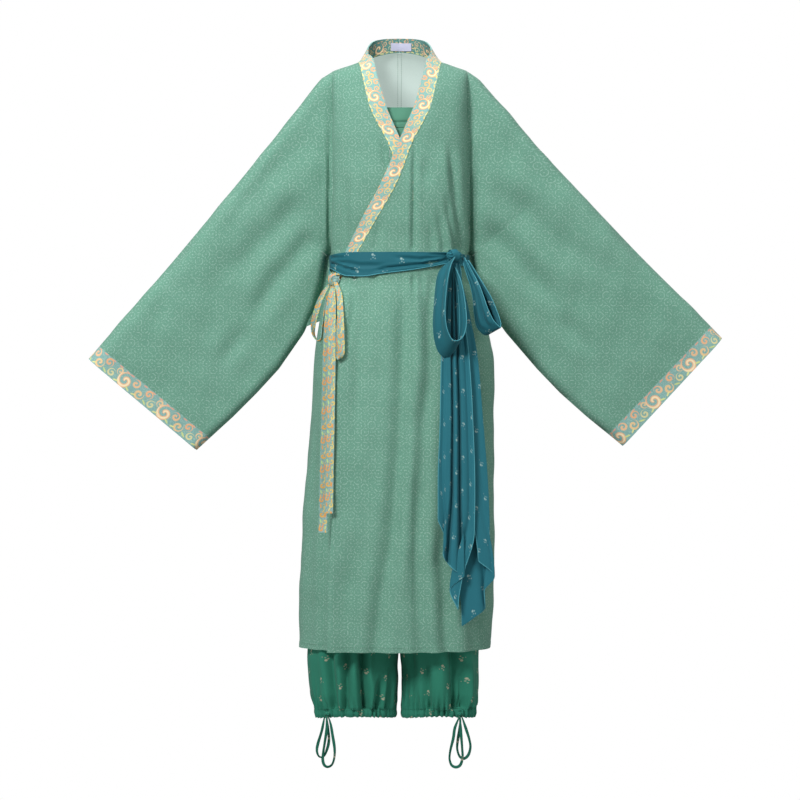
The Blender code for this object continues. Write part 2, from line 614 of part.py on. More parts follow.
def make_sleeve(side, cloth_material, band_material):
    arm = SLEEVES[side]
    reach = arm["end"] - arm["seam"]
    cuff = (arm["cuff_seam"] - arm["seam"]) / reach
    shift = SEAM / reach

    def tube(first, last, steps):
        shares = np.linspace(first, last, steps + 1)
        return np.array([sleeve_ring(side, s, SLEEVE_FULL + (CUFF_FULL - SLEEVE_FULL) * s) for s in shares])

    ends = (("top", sleeve_axis(side), ALL), ("bottom", sleeve_axis(side), ALL))
    flip = side == "left"
    cloth("sleeve_" + side, [(tube(shift, cuff, SLEEVE_STEPS), flip, ends)], CLOTH, cloth_material)
    cloth("cuff_" + side, [(tube(cuff + shift, 1.0, 2), flip, ends)], DOUBLE, band_material)


def side_x(down, side):
    return level(down, side) * SLEEVES[side]["sign"]


def make_panel(name, face, side, downs, inner, outer, count, material):
    """A front or back panel. Inner and outer are its x at each row, from the centre outwards;
    an outer of None is the crease or side seam, where the inner sleeve joins it."""
    forward = 1.0 if face == "back" else -1.0
    whole = outer is None
    edge = [side_x(down, side) for down in downs] if whole else outer
    first, last = (edge, inner) if side == "right" else (inner, edge)
    if face == "back":
        grid = np.array([back_row(d, a, b, count, side) for d, a, b in zip(downs, first, last)])
    else:
        grid = np.array([front_row(d, a, b, count, face) for d, a, b in zip(downs, first, last)])
    edge_name, seam_name = ("first", "last") if side == "right" else ("last", "first")
    locks = [(seam_name, AXIS_X if face == "back" else None, ALL)]
    if not whole:
        locks.append((edge_name, None, ALL))
    patches = []
    if whole:
        torso = len(TORSO_ROWS)
        grid[0, :, 1] += forward * SEAM / 2
        column = 0 if side == "right" else -1
        grid[torso - 1:, column, 1] = forward * SEAM / 2
        locks.append((edge_name, AXIS_Y, slice(torso - 1, None)))
        beside = slice(NECK_STEPS, None) if side == "left" else slice(None, -NECK_STEPS)
        locks.append(("top", AXIS_Y, beside if face == "back" else ALL))
        if face == "back":
            neck = slice(None, NECK_STEPS) if side == "left" else slice(-NECK_STEPS, None)
            locks.append(("top", None, neck))
        sleeve = inner_sleeve(side, face)
        sleeve[:, 0] = grid[:torso, column]
        patches.append((sleeve, (side == "right") != (face == "back"), (
            ("top", AXIS_Y, ALL), ("bottom", AXIS_Y, ALL), ("last", sleeve_axis(side), ALL))))
    patches.append((grid, face == "back", locks))
    cloth(name, patches, CLOTH, material)


def make_body(material):
    downs = TORSO_ROWS + SKIRT_ROWS
    left = [max(CENTRE_SEAM, neckline(d, "seam", "left") + NECK_SEAM) for d in downs]
    right = [min(UNDER_SEAM, neckline(d, "seam", "right") - NECK_SEAM) for d in downs]
    make_panel("front_left", "outer", "left", downs, left, None, 8, material)
    make_panel("front_right", "under", "right", downs, right, None, 9, material)
    make_panel("back_left", "back", "left", downs, [SEAM / 2] * len(downs), None, 9, material)
    make_panel("back_right", "back", "right", downs, [-SEAM / 2] * len(downs), None, 9, material)
    outer_rows = [d for d in downs if d > 0.170]
    free = [neckline(d, "seam", "left") + NECK_SEAM if d < OVERLAP[0][0]
            else read(OVERLAP, OVERLAP_COLUMNS, "x", d) for d in outer_rows]
    make_panel("overlap_outer", "outer", "right", outer_rows,
               [CENTRE_SEAM - SEAM] * len(outer_rows), free, 8, material)
    inner_rows = (0.192,) + tuple(d for d in downs if d > 0.2)
    free = [min(UNDER_END, neckline(d, "seam", "right") - NECK_SEAM) for d in inner_rows]
    make_panel("overlap_inner", "under", "left", inner_rows,
               [UNDER_SEAM + SEAM] * len(inner_rows), free, 6, material)


def make_collar(side, material):
    sign = SLEEVES[side]["sign"]
    rows = []
    for row in COLLAR:
        turn = math.radians(min(row[0], 90.0))
        seam = np.array([NECKLINE_CENTRE * sign + NECK_HALF * math.sin(turn),
                         NAPE_DEPTH * math.cos(turn),
                         NECK_TOP + NAPE_RISE * math.cos(turn) ** 2 + 5 * SEAM])
        free = np.array(row[1:4])
        rows.append([(seam + (free - seam) * share) * (sign, 1.0, 1.0) for share in (0.0, 0.5, 1.0)])
    downs = [d for d in TORSO_ROWS + SKIRT_ROWS if 0 < d < BAND_ENDS[side]] + [BAND_ENDS[side]]
    for down in downs:
        lift = BAND_LIFT - (BAND_SUNK * min(1.0, down / 0.110) if side == "right" else 0.0)
        seam, free = neckline(down, "seam", side), neckline(down, "free", side)
        rows.append([on_front(seam + (free - seam) * share, down, lift) for share in (0.0, 0.5, 1.0)])
    grid = np.array(rows)
    grid[0, :, 0] = sign * SEAM / 2
    locks = (("top", AXIS_X, ALL), ("first", None, ALL))
    cloth("collar_" + side, [(grid, side == "left", locks)], DOUBLE, material)


def waist_ring(down, distance, steps):
    """The body's outline at one level, moved out, once round from the wearer's right side."""
    front = spaced(moved_out(section(down, "front"), distance), -1.0, 1.0, steps)
    back = spaced(moved_out(section(down, "back"), distance), -1.0, 1.0, steps)
    return np.concatenate([front, back[::-1][1:-1], front[:1]])


def make_sash(material):
    around = waist_ring(0.409, SASH_OUT, WAIST_STEPS)
    rows = []
    for share in (0.0, 1.0):
        row = around.copy()
        for i, (x, y, _) in enumerate(around):
            top = SASH_BACK[0] if y > 0 else read(SASH, SASH_COLUMNS, "top", x)
            bottom = SASH_BACK[1] if y > 0 else read(SASH, SASH_COLUMNS, "bottom", x)
            row[i, 2] = top + (bottom - top) * share
        rows.append(row)
    cloth("sash_band", [(np.array(rows), False, ())], DOUBLE, material)


def make_trousers(material):
    belt = np.array([waist_ring(down, BELT_IN, WAIST_STEPS) for down in BELT_ROWS])
    cloth("trousers_waistband", [(belt, False, ())], 0.0020, material)
    for side in ("right", "left"):
        sign = SLEEVES[side]["sign"]

        def ring(z, extra, closed):
            half, out, centre = (read(LEGS, LEG_COLUMNS, name, z) for name in ("half", "out", "centre"))
            front, back = (read(LEGS, LEG_COLUMNS, name, z) + extra for name in ("front", "back"))
            wide = half - out + extra
            reach = math.pi if closed else math.acos(max(-1.0, -out / wide))
            points = []
            for turn in np.linspace(reach, -reach, LEG_STEPS + 1):
                depth = -front * math.sin(turn) if turn > 0 else back * math.sin(-turn)
                points.append([centre + sign * (SEAM + out + wide * math.cos(turn)), depth, z])
            return points

        leg = np.array([ring(row[0], 0.0, False) for row in LEGS])
        crotch = [row[4] >= row[1] / 2 for row in LEGS].index(True)
        leg[crotch:, 0, 1] = -SEAM / 2
        leg[crotch:, -1, 1] = SEAM / 2
        # The centre seam's edges face across the body, the inner leg seam's along it.
        locks = (("first", AXIS_Y, slice(crotch, None)), ("last", AXIS_Y, slice(crotch, None)),
                 ("first", AXIS_X, slice(crotch)), ("last", AXIS_X, slice(crotch)))
        flip = side == "left"
        cloth("leg_" + side, [(leg, not flip, locks)], CLOTH, material)
        casing = np.array([ring(z, extra, True) for z, extra in CASING])
        casing[:, -1] = casing[:, 0]
        cloth("leg_casing_" + side, [(casing, not flip, ())], CLOTH, material)


def camisole_row(z, first, last, steps):
    """A level row of the camisole between two turns, 0 at the wearer's left, 90 at the back."""
    half, front, back = (read(CAMISOLE, CAMISOLE_COLUMNS, name, z) for name in ("half", "front", "back"))
    points = []
    for turn in np.radians(np.linspace(first, last, steps + 1)):
        x, y = math.cos(turn), math.sin(turn)
        depth = back if y > 0 else front
        points.append((half * math.copysign(abs(x) ** 0.8, x), depth * math.copysign(abs(y) ** 0.8, y), z))
    return np.array(points)


def make_camisole(material, trim):
    levels = [row[0] for row in CAMISOLE]
    band = [z for z in levels if z > CAMISOLE_BAND_END]
    band = np.array([camisole_row(z, 0, 360, 2 * CAMISOLE_STEPS) for z in band])
    band[:, -1] = band[:, 0]
    cloth("camisole_band", [(band, False, ())], CAMISOLE_WALL, trim)
    body = [z for z in levels if z < CAMISOLE_BAND_END]
    for name, first, sign in (("camisole_back", 0, 1.0), ("camisole_front", 180, -1.0)):
        grid = np.array([camisole_row(z, first, first + 180, CAMISOLE_STEPS) for z in body])
        grid[:, (0, -1), 1] = sign * SEAM / 2
        locks = (("first", AXIS_Y, ALL), ("last", AXIS_Y, ALL))
        cloth(name, [(grid, False, locks)], CAMISOLE_WALL, material)
    for side in ("right", "left"):
        sign = SLEEVES[side]["sign"]
        rows = [[((x + across) * sign, y, z - across * tilt) for across in (-STRAP_HALF, 0.0, STRAP_HALF)]
                for x, y, z, tilt in STRAP]
        cloth("camisole_strap_" + side, [(np.array(rows), side == "right", ())], CAMISOLE_WALL, trim)


def make_label(material):
    """A blank label on the inside of the collar, at the nape."""
    turn = math.radians(COLLAR[1][0])
    reach = NECK_HALF * math.sin(turn)
    rows = []
    for height in (LABEL["top"], LABEL["bottom"]):
        row = []
        for share in (0.0, 0.5, 1.0):
            x = LABEL["first"] + (LABEL["last"] - LABEL["first"]) * share
            along = abs(x) / reach
            seam_y = NAPE_DEPTH * (1.0 + (math.cos(turn) - 1.0) * along)
            free_y = COLLAR[0][2] + (COLLAR[1][2] - COLLAR[0][2]) * along
            up = (height - NECK_TOP - NAPE_RISE) / (COLLAR[0][3] - NECK_TOP - NAPE_RISE)
            y = seam_y + (free_y - seam_y) * up - DOUBLE - LABEL["wall"] - 2 * SEAM
            row.append((x, y, height + LABEL["tilt"] * share))
        rows.append(row)
    cloth("neck_label", [(np.array(rows), False, ())], LABEL["wall"], material)


def make_knot(name, material):
    centre, half, turn = KNOTS[name]
    mesh = bpy.data.meshes.new(name)
    shape = bmesh.new()
    bmesh.ops.create_uvsphere(shape, u_segments=16, v_segments=8, radius=1.0)
    bmesh.ops.scale(shape, vec=half, verts=shape.verts)
    shape.to_mesh(mesh)
    shape.free()
    mesh.materials.append(material)
    mesh.shade_smooth()
    piece = bpy.data.objects.new(name, mesh)
    piece.location = centre
    piece.rotation_euler = (0.0, 0.0, math.radians(turn))
    bpy.context.collection.objects.link(piece)


def leaves(name, gap):
    """The point where a strip leaves its knot, and the way it faces there."""
    knot, direction = LEAVES[name]
    centre, half, turn = KNOTS[knot]
    direction = np.array(direction) / np.linalg.norm(direction)
    face = direction / half
    face /= np.linalg.norm(face)
    c, s = math.cos(math.radians(turn)), math.sin(math.radians(turn))
    turned = np.array(((c, -s, 0.0), (s, c, 0.0), (0.0, 0.0, 1.0)))
    return centre + turned @ (direction * half + face * gap), turned @ face


def make_ribbon(name, material):
    start, facing = leaves(name, KNOT_GAP)
    half = np.array(RIBBONS[name][0][3:]) * 0.6
    half -= facing * (half @ facing)
    rows = [[start - half, start, start + half]]
    for x, y, z, *half in RIBBONS[name]:
        middle, half = np.array((x, y, z)), np.array(half)
        rows.append([middle - half, middle, middle + half])
    cloth(name, [(np.array(rows), True, (("top", facing, ALL),))], CLOTH, material)


def make_tail(name, material):
    start, facing = leaves(name, KNOT_GAP)
    across = np.cross(facing, AXIS_Y)
    across *= math.copysign(1.0, across[0]) / np.linalg.norm(across)
    shares = [step / TAIL_PLEATS for step in range(TAIL_PLEATS + 1)]
    rows = [[start + across * TAIL_START * (share - 0.5) for share in shares]]
    for z_left, z_right, left, right, y, fold in TAILS[name]:
        rows.append([(left + (right - left) * share, y + fold * (-1.0 if step % 2 else 1.0),
                      z_left + (z_right - z_left) * share) for step, share in enumerate(shares)])
    cloth(name, [(np.array(rows), False, (("top", facing, ALL),))], CLOTH, material)


def smooth_route(points, step):
    """Points of even spacing on a Catmull-Rom curve through a lace's own points."""
    knots = np.array([points[0], *points, points[-1]])
    curve = []
    for before, start, end, after in zip(knots, knots[1:], knots[2:], knots[3:]):
        for t in np.linspace(0.0, 1.0, 24, endpoint=False):
            curve.append(0.5 * (2 * start + (end - before) * t
                                + (2 * before - 5 * start + 4 * end - after) * t**2
                                + (3 * start - before - 3 * end + after) * t**3))
    curve = np.array(curve + [knots[-1]])
    count = max(2, round(np.linalg.norm(np.diff(curve, axis=0), axis=1).sum() / step))
    return [along_line(curve, k / count) for k in range(count + 1)]


def make_lace(name, material):
    curve = bpy.data.curves.new(name, "CURVE")
    curve.dimensions = "3D"
    curve.bevel_depth = LACE_RADIUS
    curve.bevel_resolution = 2
    curve.use_fill_caps = True
    start, facing = leaves(name, KNOT_GAP)
    route = smooth_route([start, start + facing * LACE_STEP, *LACES[name]], LACE_STEP)
    spline = curve.splines.new("POLY")
    spline.points.add(len(route) - 1)
    for point, place in zip(spline.points, route):
        point.co = (*place, 1.0)
    curve.materials.append(material)
    bpy.context.collection.objects.link(bpy.data.objects.new(name, curve))


def main():
    clear_scene()
    green = new_material("robe cloth", GREEN)
    band = new_material("contrast band", BAND)
    teal = new_material("sash cloth", TEAL)
    deep = new_material("trouser cloth", DEEP)
    inner = new_material("camisole cloth", INNER)
    white = new_material("label", WHITE, 0.7)
    make_body(green)
    for side in ("right", "left"):
        make_sleeve(side, green, band)
        make_collar(side, band)
    make_label(white)
    make_sash(teal)
    make_camisole(inner, inner)
    make_trousers(deep)
    for name in KNOTS:
        make_knot(name, teal if name.startswith("sash") else band if name.startswith("tie") else deep)
    for name in RIBBONS:
        make_ribbon(name, teal if name.startswith("sash") else band)
    for name in TAILS:
        make_tail(name, teal)
    for name in LACES:
        make_lace(name, deep)


main()
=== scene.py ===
# Wrap robe set on its frame: green robe with printed collar and cuff bands and narrow side ties,
# teal sash tied in a bow, camisole, and trousers gathered on drawstrings.
import bpy
import math
import numpy as np
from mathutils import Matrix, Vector


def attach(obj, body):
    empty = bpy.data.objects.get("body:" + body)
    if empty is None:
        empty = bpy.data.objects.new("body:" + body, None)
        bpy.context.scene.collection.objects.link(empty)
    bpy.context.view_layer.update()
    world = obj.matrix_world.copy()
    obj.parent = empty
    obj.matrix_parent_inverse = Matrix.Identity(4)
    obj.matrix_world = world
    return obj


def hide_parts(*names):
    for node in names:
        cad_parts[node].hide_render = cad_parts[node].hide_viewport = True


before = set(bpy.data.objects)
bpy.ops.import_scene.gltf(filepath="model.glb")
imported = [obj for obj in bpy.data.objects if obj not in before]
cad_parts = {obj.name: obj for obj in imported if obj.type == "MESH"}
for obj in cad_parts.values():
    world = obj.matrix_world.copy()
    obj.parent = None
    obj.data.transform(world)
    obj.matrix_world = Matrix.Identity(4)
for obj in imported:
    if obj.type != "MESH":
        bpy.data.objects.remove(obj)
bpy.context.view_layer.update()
print("frame loaded:", len(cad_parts), "nodes")

# camera, light and floor
view = {"middle": (0.001, -0.681), "away": 4.5, "lens": 99.3, "sensor": 36.0}
studio = {
    "floor": -1.78, "floorReach": 60.0, "floorColour": "#9C9C9A",
    "sky": 0.36, "skyColour": "#FFFFFF",
    "lamps": (   # name, place, aimed at, size, power
        ("keyLight", (-1.7, -2.9, 1.5), (0.0, 0.0, -0.45), 1.1, 116.0),
        ("fillLight", (2.6, -3.0, 0.7), (0.0, 0.0, -0.6), 1.8, 25.5),
        ("backLight", (0.6, 4.0, 1.6), (0.0, 0.0, -0.6), 2.4, 60.0),
        ("topLight", (0.0, -0.6, 2.6), (0.0, 0.0, -0.5), 1.6, 32.0),
    ),
}


def linear(code):   # sRGB hex to linear
    parts = [int(code[i:i + 2], 16) / 255 for i in (1, 3, 5)]
    return tuple(p / 12.92 if p <= 0.04045 else ((p + 0.055) / 1.055) ** 2.4 for p in parts) + (1.0,)


def add(tree, kind, inputs=None, stops=None, **settings):   # one node with its settings and links
    node = tree.nodes.new(kind if "Node" in kind else "ShaderNode" + kind)
    for name, value in settings.items():
        setattr(node, name, value)
    for socket, value in (inputs or {}).items():
        if isinstance(value, bpy.types.Node):
            tree.links.new(value.outputs[0], node.inputs[socket])
        elif isinstance(value, bpy.types.NodeSocket):
            tree.links.new(value, node.inputs[socket])
        else:
            node.inputs[socket].default_value = value
    if stops:
        ramp = node.color_ramp.elements
        while len(ramp) < len(stops):
            ramp.new(0.5)
        for element, (place, shade) in zip(ramp, stops):
            element.position = place
            element.color = (shade, shade, shade, 1.0)
    return node


def newObject(name, data):
    made = bpy.data.objects.new(name, data)
    bpy.context.collection.objects.link(made)
    return made


def whiteToCamera(tree, lit, output, kind):   # the camera sees clean white where other rays see what is lit
    white = add(tree, kind, {"Color": linear(studio["skyColour"]), "Strength": 1.0})
    path = add(tree, "LightPath")
    seen = add(tree, "MixShader", {0: path.outputs["Is Camera Ray"], 1: lit, 2: white})
    add(tree, output, {"Surface": seen})


def makeStudio():
    camera = newObject("camera", bpy.data.cameras.new("camera"))
    camera.data.lens = view["lens"]
    camera.data.sensor_width = view["sensor"]
    camera.location = (view["middle"][0], -view["away"], view["middle"][1])
    camera.rotation_euler = (math.radians(90), 0.0, 0.0)
    bpy.context.scene.camera = camera
    bpy.context.scene.view_settings.view_transform = "Standard"

    for name, spot, target, size, power in studio["lamps"]:
        lamp = newObject(name, bpy.data.lights.new(name, "AREA"))
        lamp.data.shape = "DISK"
        lamp.data.size = size
        lamp.data.energy = power
        lamp.location = spot
        lamp.rotation_euler = (Vector(target) - lamp.location).to_track_quat("-Z", "Y").to_euler()

    # a white room, whose walls give a gentle light of their own
    world = bpy.data.worlds.new("white room")
    world.use_nodes = True
    world.node_tree.nodes.clear()
    soft = {"Color": linear(studio["skyColour"]), "Strength": studio["sky"]}
    whiteToCamera(world.node_tree, add(world.node_tree, "Background", soft), "OutputWorld", "Background")
    bpy.context.scene.world = world

    # matt painted board: it runs into the white walls without an edge, and throws little light back up
    board = bpy.data.materials.new("matt white board")
    board.use_nodes = True
    board.node_tree.nodes.clear()
    paint = add(board.node_tree, "BsdfDiffuse", {"Color": linear(studio["floorColour"]), "Roughness": 0.9})
    whiteToCamera(board.node_tree, paint, "OutputMaterial", "Emission")
    reach, z = studio["floorReach"], studio["floor"]
    mesh = bpy.data.meshes.new("floor")
    mesh.from_pydata([(-reach, -reach, z), (reach, -reach, z), (reach, reach, z), (-reach, reach, z)], [],
                     [(0, 1, 2, 3)])
    mesh.materials.append(board)
    floor = newObject("floor", mesh)


makeStudio()
print("studio ready")

# Every cloth piece has a UV map in metres, called "cloth". Curls, leaves and dots are in millimetres.
rosettes = {   # small rosettes on a half-drop grid, and rayed stars between them
    "cell": 0.0195, "turn": 45.0, "wander": 0.0002,
    "motifs": (   # offset in cells, petals, scallop, then how light the line is at each distance
        (0.0, 8, 0.014, ((0.0, 1.0), (0.07, 1.0), (0.11, 0.0), (0.16, 0.0), (0.2, 0.6), (0.24, 0.0),
                         (0.3, 0.0), (0.34, 1.0), (0.4, 1.0), (0.45, 0.1))),
        (0.5, 4, 0.04, ((0.0, 0.8), (0.05, 0.2), (0.1, 0.8), (0.16, 0.6), (0.21, 0.1), (0.26, 0.0))),
    ),
}
scrolls = {   # cloud scrolls along a band: across is centred on the band, along repeats
    "period": 74.0, "wander": 0.0014,
    "curls": (   # across, along, reach, distance between turns, hand, share of line, turn, colour
        (1, 0, 14, 11.8, 1.0, 0.62, 0.1, "#F9B183"),
        (1, 0, 13.6, 11.8, 1.0, 0.3, 0.1, "#FFF3C4"),
        (-9, 15, 6.8, 6.2, -1.0, 0.62, 0.3, "#F8B78A"),
        (9.5, -16, 6.4, 6, -1.0, 0.6, 0.6, "#F8BE8E"),
        (-2, 30, 8.5, 6.6, -1.0, 0.5, 0.0, "#F7C887"),
        (7, 42, 7.5, 6, 1.0, 0.52, 0.45, "#EFD894"),
        (-8.5, 44, 7, 5.6, 1.0, 0.54, 0.2, "#F8BC86"),
        (5, 19.5, 6.4, 5.2, 1.0, 0.52, 0.7, "#F5CF8C"),
        (-7.5, 58.5, 6.6, 5.4, -1.0, 0.54, 0.9, "#F8C08C"),
    ),
    "leaves": (   # across, along, half width, half length, turn, colour
        (14.5, 6, 1.7, 4.6, -14.0, "#FFE98F"), (15, 20, 1.6, 5.2, 16.0, "#F8EE9E"),
        (14.3, 30, 1.5, 4, -20.0, "#FFDF84"), (15, 42, 1.6, 5, 10.0, "#F3EFA0"),
        (14.5, 52, 1.5, 4, -24.0, "#FFE38C"), (15, 64, 1.7, 5.4, 12.0, "#FFEFA4"),
        (-15, 4, 1.3, 4, 10.0, "#F7B27C"), (-14.6, 18, 1.2, 3.6, -16.0, "#F9BE7E"),
        (-15, 33, 1.3, 4.4, 12.0, "#F6AE78"), (-14.6, 52, 1.2, 3.6, -10.0, "#FBC98C"),
        (-15, 68, 1.3, 4, 14.0, "#F7B585"), (10, 56, 1.3, 4.4, 48.0, "#F9C98E"),
    ),
}
cuffScrolls = {   # the wider cloth of the cuffs: one wave scroll to every small one
    "period": 104.0, "wander": 0.0016,
    "curls": (
        (1.5, 0, 17.5, 14.6, 1.0, 0.56, 0.15, "#F5BC90"),
        (1.5, 0, 17, 14.6, 1.0, 0.26, 0.15, "#FCEBC4"),
        (-7, 22, 9.5, 8.6, -1.0, 0.56, 0.35, "#F4C396"),
        (5.5, 40, 11, 9.2, -1.0, 0.54, 0.0, "#F2CC98"),
        (-6.5, 56, 9.5, 8, 1.0, 0.54, 0.55, "#F4B78A"),
        (6.5, 72, 9, 7.6, 1.0, 0.52, 0.25, "#E4DCA4"),
        (-7, 85, 8, 7, -1.0, 0.52, 0.75, "#EECB9C"),
    ),
    "leaves": (
        (12.5, 14, 1.8, 6.2, -24.0, "#D9E496"), (13, 30, 1.6, 5.2, 20.0, "#EBEA9C"),
        (12, 58, 1.8, 6.4, -30.0, "#D4E194"), (13.5, 88, 1.7, 5.6, 18.0, "#E6EAA0"),
        (-15.5, 6, 1.2, 4.6, 4.0, "#F0A48C"), (-15.5, 22, 1.2, 4, -4.0, "#F2AC8E"),
        (-15.5, 40, 1.2, 4.8, 4.0, "#F0A286"), (-15.5, 62, 1.2, 4.2, -4.0, "#F2AE92"),
        (-15.5, 80, 1.2, 4.6, 4.0, "#F0A48C"), (-15.5, 98, 1.2, 4, -4.0, "#F2AE90"),
    ),
}
tieScrolls = {   # the narrow ties are cut from a sparser part of the cloth
    "period": 58.0, "wander": 0.0012,
    "curls": (
        (-2.5, 4, 6.6, 6.6, 1.0, 0.56, 0.1, "#F8B646"),
        (3.5, 18, 5.6, 5.6, -1.0, 0.54, 0.4, "#F2CE62"),
        (-3, 33, 6, 6, -1.0, 0.54, 0.75, "#F9AC52"),
        (3, 47, 5.6, 5.4, 1.0, 0.56, 0.2, "#F3D873"),
    ),
    "leaves": (
        (4.5, 6, 1.4, 5, 8.0, "#F99E48"), (-5, 17, 1.5, 4, -14.0, "#CBE88C"),
        (5, 30, 1.4, 3.8, 18.0, "#D8E884"), (-4.8, 45, 1.4, 4.4, -8.0, "#F9AE4A"),
        (0, 26.5, 1.2, 5.2, 6.0, "#FA9C60"), (5.2, 38.5, 1.4, 4, -10.0, "#F8C656"),
        (0.5, 54.5, 1.2, 4, 30.0, "#F7DC84"), (-6.2, 26, 1.2, 3.6, 12.0, "#F9BE62"),
    ),
}
sprigs = {   # a little flower and its buds: across, up, radius, how strongly it shows
    "dots": (
        (1, -1.6, 1.9, 1.0), (-2.4, -0.6, 1.2, 0.75), (-0.4, 2.8, 1.2, 0.6), (-4, 4, 1.1, 0.65),
        (2.6, 5.8, 0.9, 0.45),
    ),
}


def uneven(tree, uv, scale, wander):   # the map with every place moved a little, as ink runs in cloth
    noise = add(tree, "TexNoise", {"Vector": uv, "Scale": scale, "Detail": 1.0})
    centred = add(tree, "VectorMath", {0: noise.outputs["Color"], 1: (0.5, 0.5, 0.5)}, operation="SUBTRACT")
    drift = add(tree, "VectorMath", {0: centred, "Scale": wander}, operation="SCALE")
    return add(tree, "VectorMath", {0: uv, 1: drift}, operation="ADD")


def repeated(tree, uv, across, along, wide, high):   # the way from a motif that every cell repeats
    moved = add(tree, "VectorMath", {0: uv, 1: (across, along, 0.0)}, operation="SUBTRACT")
    return add(tree, "VectorMath", {0: moved, 1: (wide / 2, high / 2, 9.0), 2: (-wide / 2, -high / 2, -9.0)},
               operation="WRAP")


def roundMiddle(tree, local):   # distance from a motif's middle, and the angle round it
    parts = add(tree, "SeparateXYZ", {0: local})
    return (add(tree, "VectorMath", {0: local}, operation="LENGTH").outputs["Value"],
            add(tree, "Math", {0: parts.outputs[1], 1: parts.outputs[0]}, operation="ARCTAN2"))


def printRosettes(tree, uv, colour):
    cells = 1.0 / rosettes["cell"]
    grid = add(tree, "Mapping", {"Vector": uneven(tree, uv, 330.0, rosettes["wander"]),
                                 "Rotation": (0.0, 0.0, math.radians(rosettes["turn"])),
                                 "Scale": (cells, cells, cells)})
    masks = []
    for offset, petals, scallop, stops in rosettes["motifs"]:
        moved = add(tree, "VectorMath", {0: grid, 1: (offset, offset, 0.0)}, operation="ADD")
        cell = add(tree, "VectorMath", {0: moved}, operation="FRACTION")
        local = add(tree, "VectorMath", {0: cell, 1: (0.5, 0.5, 0.0)}, operation="SUBTRACT")
        away, angle = roundMiddle(tree, local)
        turned = add(tree, "Math", {0: angle, 1: float(petals)}, operation="MULTIPLY")
        wave = add(tree, "Math", {0: turned}, operation="COSINE")
        reach = add(tree, "Math", {0: wave, 1: scallop, 2: away}, operation="MULTIPLY_ADD")
        masks.append(add(tree, "ValToRGB", {0: reach}, stops=stops))
    return [(add(tree, "Math", {0: masks[0], 1: masks[1]}, operation="MAXIMUM"), colour)]


def printScrolls(tree, uv, motif, size=1.0):
    wavy, unit = uneven(tree, uv, 70.0, motif["wander"]), size / 1000
    period = motif["period"] * unit
    # fine pale eddies behind everything
    eddies = add(tree, "TexVoronoi", {"Vector": wavy, "Scale": 105.0 / size})
    rings = add(tree, "Math", {0: eddies.outputs["Distance"], 1: 19.0}, operation="MULTIPLY")
    curl = add(tree, "Math", {0: rings}, operation="SINE")
    crests = add(tree, "MapRange", {"Value": curl, "From Min": 0.35, "From Max": 1.0, "To Max": 0.4})
    layers = [(crests, "#BBDDD6")]
    for across, along, reach, pitch, hand, share, turn, colour in motif["curls"]:
        away, angle = roundMiddle(tree, repeated(tree, wavy, across * unit, along * unit, 18.0, period))
        turns = add(tree, "Math", {0: angle, 1: hand / math.pi, 2: 2 * turn}, operation="MULTIPLY_ADD")
        spiral = add(tree, "Math", {0: away, 1: 2.0 / (pitch * unit), 2: turns}, operation="MULTIPLY_ADD")
        phase = add(tree, "Math", {0: spiral, 1: 1.0}, operation="PINGPONG")
        line = add(tree, "ValToRGB", {0: phase}, stops=((share * 0.84, 1.0), (share * 1.1, 0.0)))
        within = add(tree, "MapRange", {"Value": away, "From Min": reach * unit,
                                        "From Max": reach * unit * 0.93})
        layers.append((add(tree, "Math", {0: line, 1: within}, operation="MULTIPLY"), colour))
    for across, along, wide, long, turn, colour in motif["leaves"]:
        local = repeated(tree, wavy, across * unit, along * unit, 18.0, period)
        shaped = add(tree, "Mapping", {"Vector": local, "Rotation": (0.0, 0.0, math.radians(turn)),
                                       "Scale": (wide * unit, long * unit, 1.0)}, vector_type="TEXTURE")
        away = add(tree, "VectorMath", {0: shaped}, operation="LENGTH").outputs["Value"]
        layers.append((add(tree, "MapRange", {"Value": away, "From Min": 1.15, "From Max": 0.85}), colour))
    return layers


def printSprigs(tree, uv, wide, high, colour, turn, size):
    turned = add(tree, "Mapping", {"Vector": uv, "Rotation": (0.0, 0.0, math.radians(turn))})
    masks = []
    unit = size / 1000
    for offset, way in ((0.0, unit), (0.5, -unit)):   # every second column drops by half and is turned over
        for across, up, radius, strength in sprigs["dots"]:
            x, y = offset * wide + way * across, offset * high + way * up
            away = add(tree, "VectorMath", {0: repeated(tree, turned, x, y, wide, high)}, operation="LENGTH")
            masks.append(add(tree, "MapRange", {"Value": away.outputs["Value"], "To Max": strength,
                                                "From Min": radius * unit * 1.25,
                                                "From Max": radius * unit * 0.7}))
    while len(masks) > 1:
        masks = [add(tree, "Math", {0: a, 1: b}, operation="MAXIMUM")
                 for a, b in zip(masks[::2], masks[1::2])] + masks[len(masks) // 2 * 2:]
    return [(masks[0], colour)]


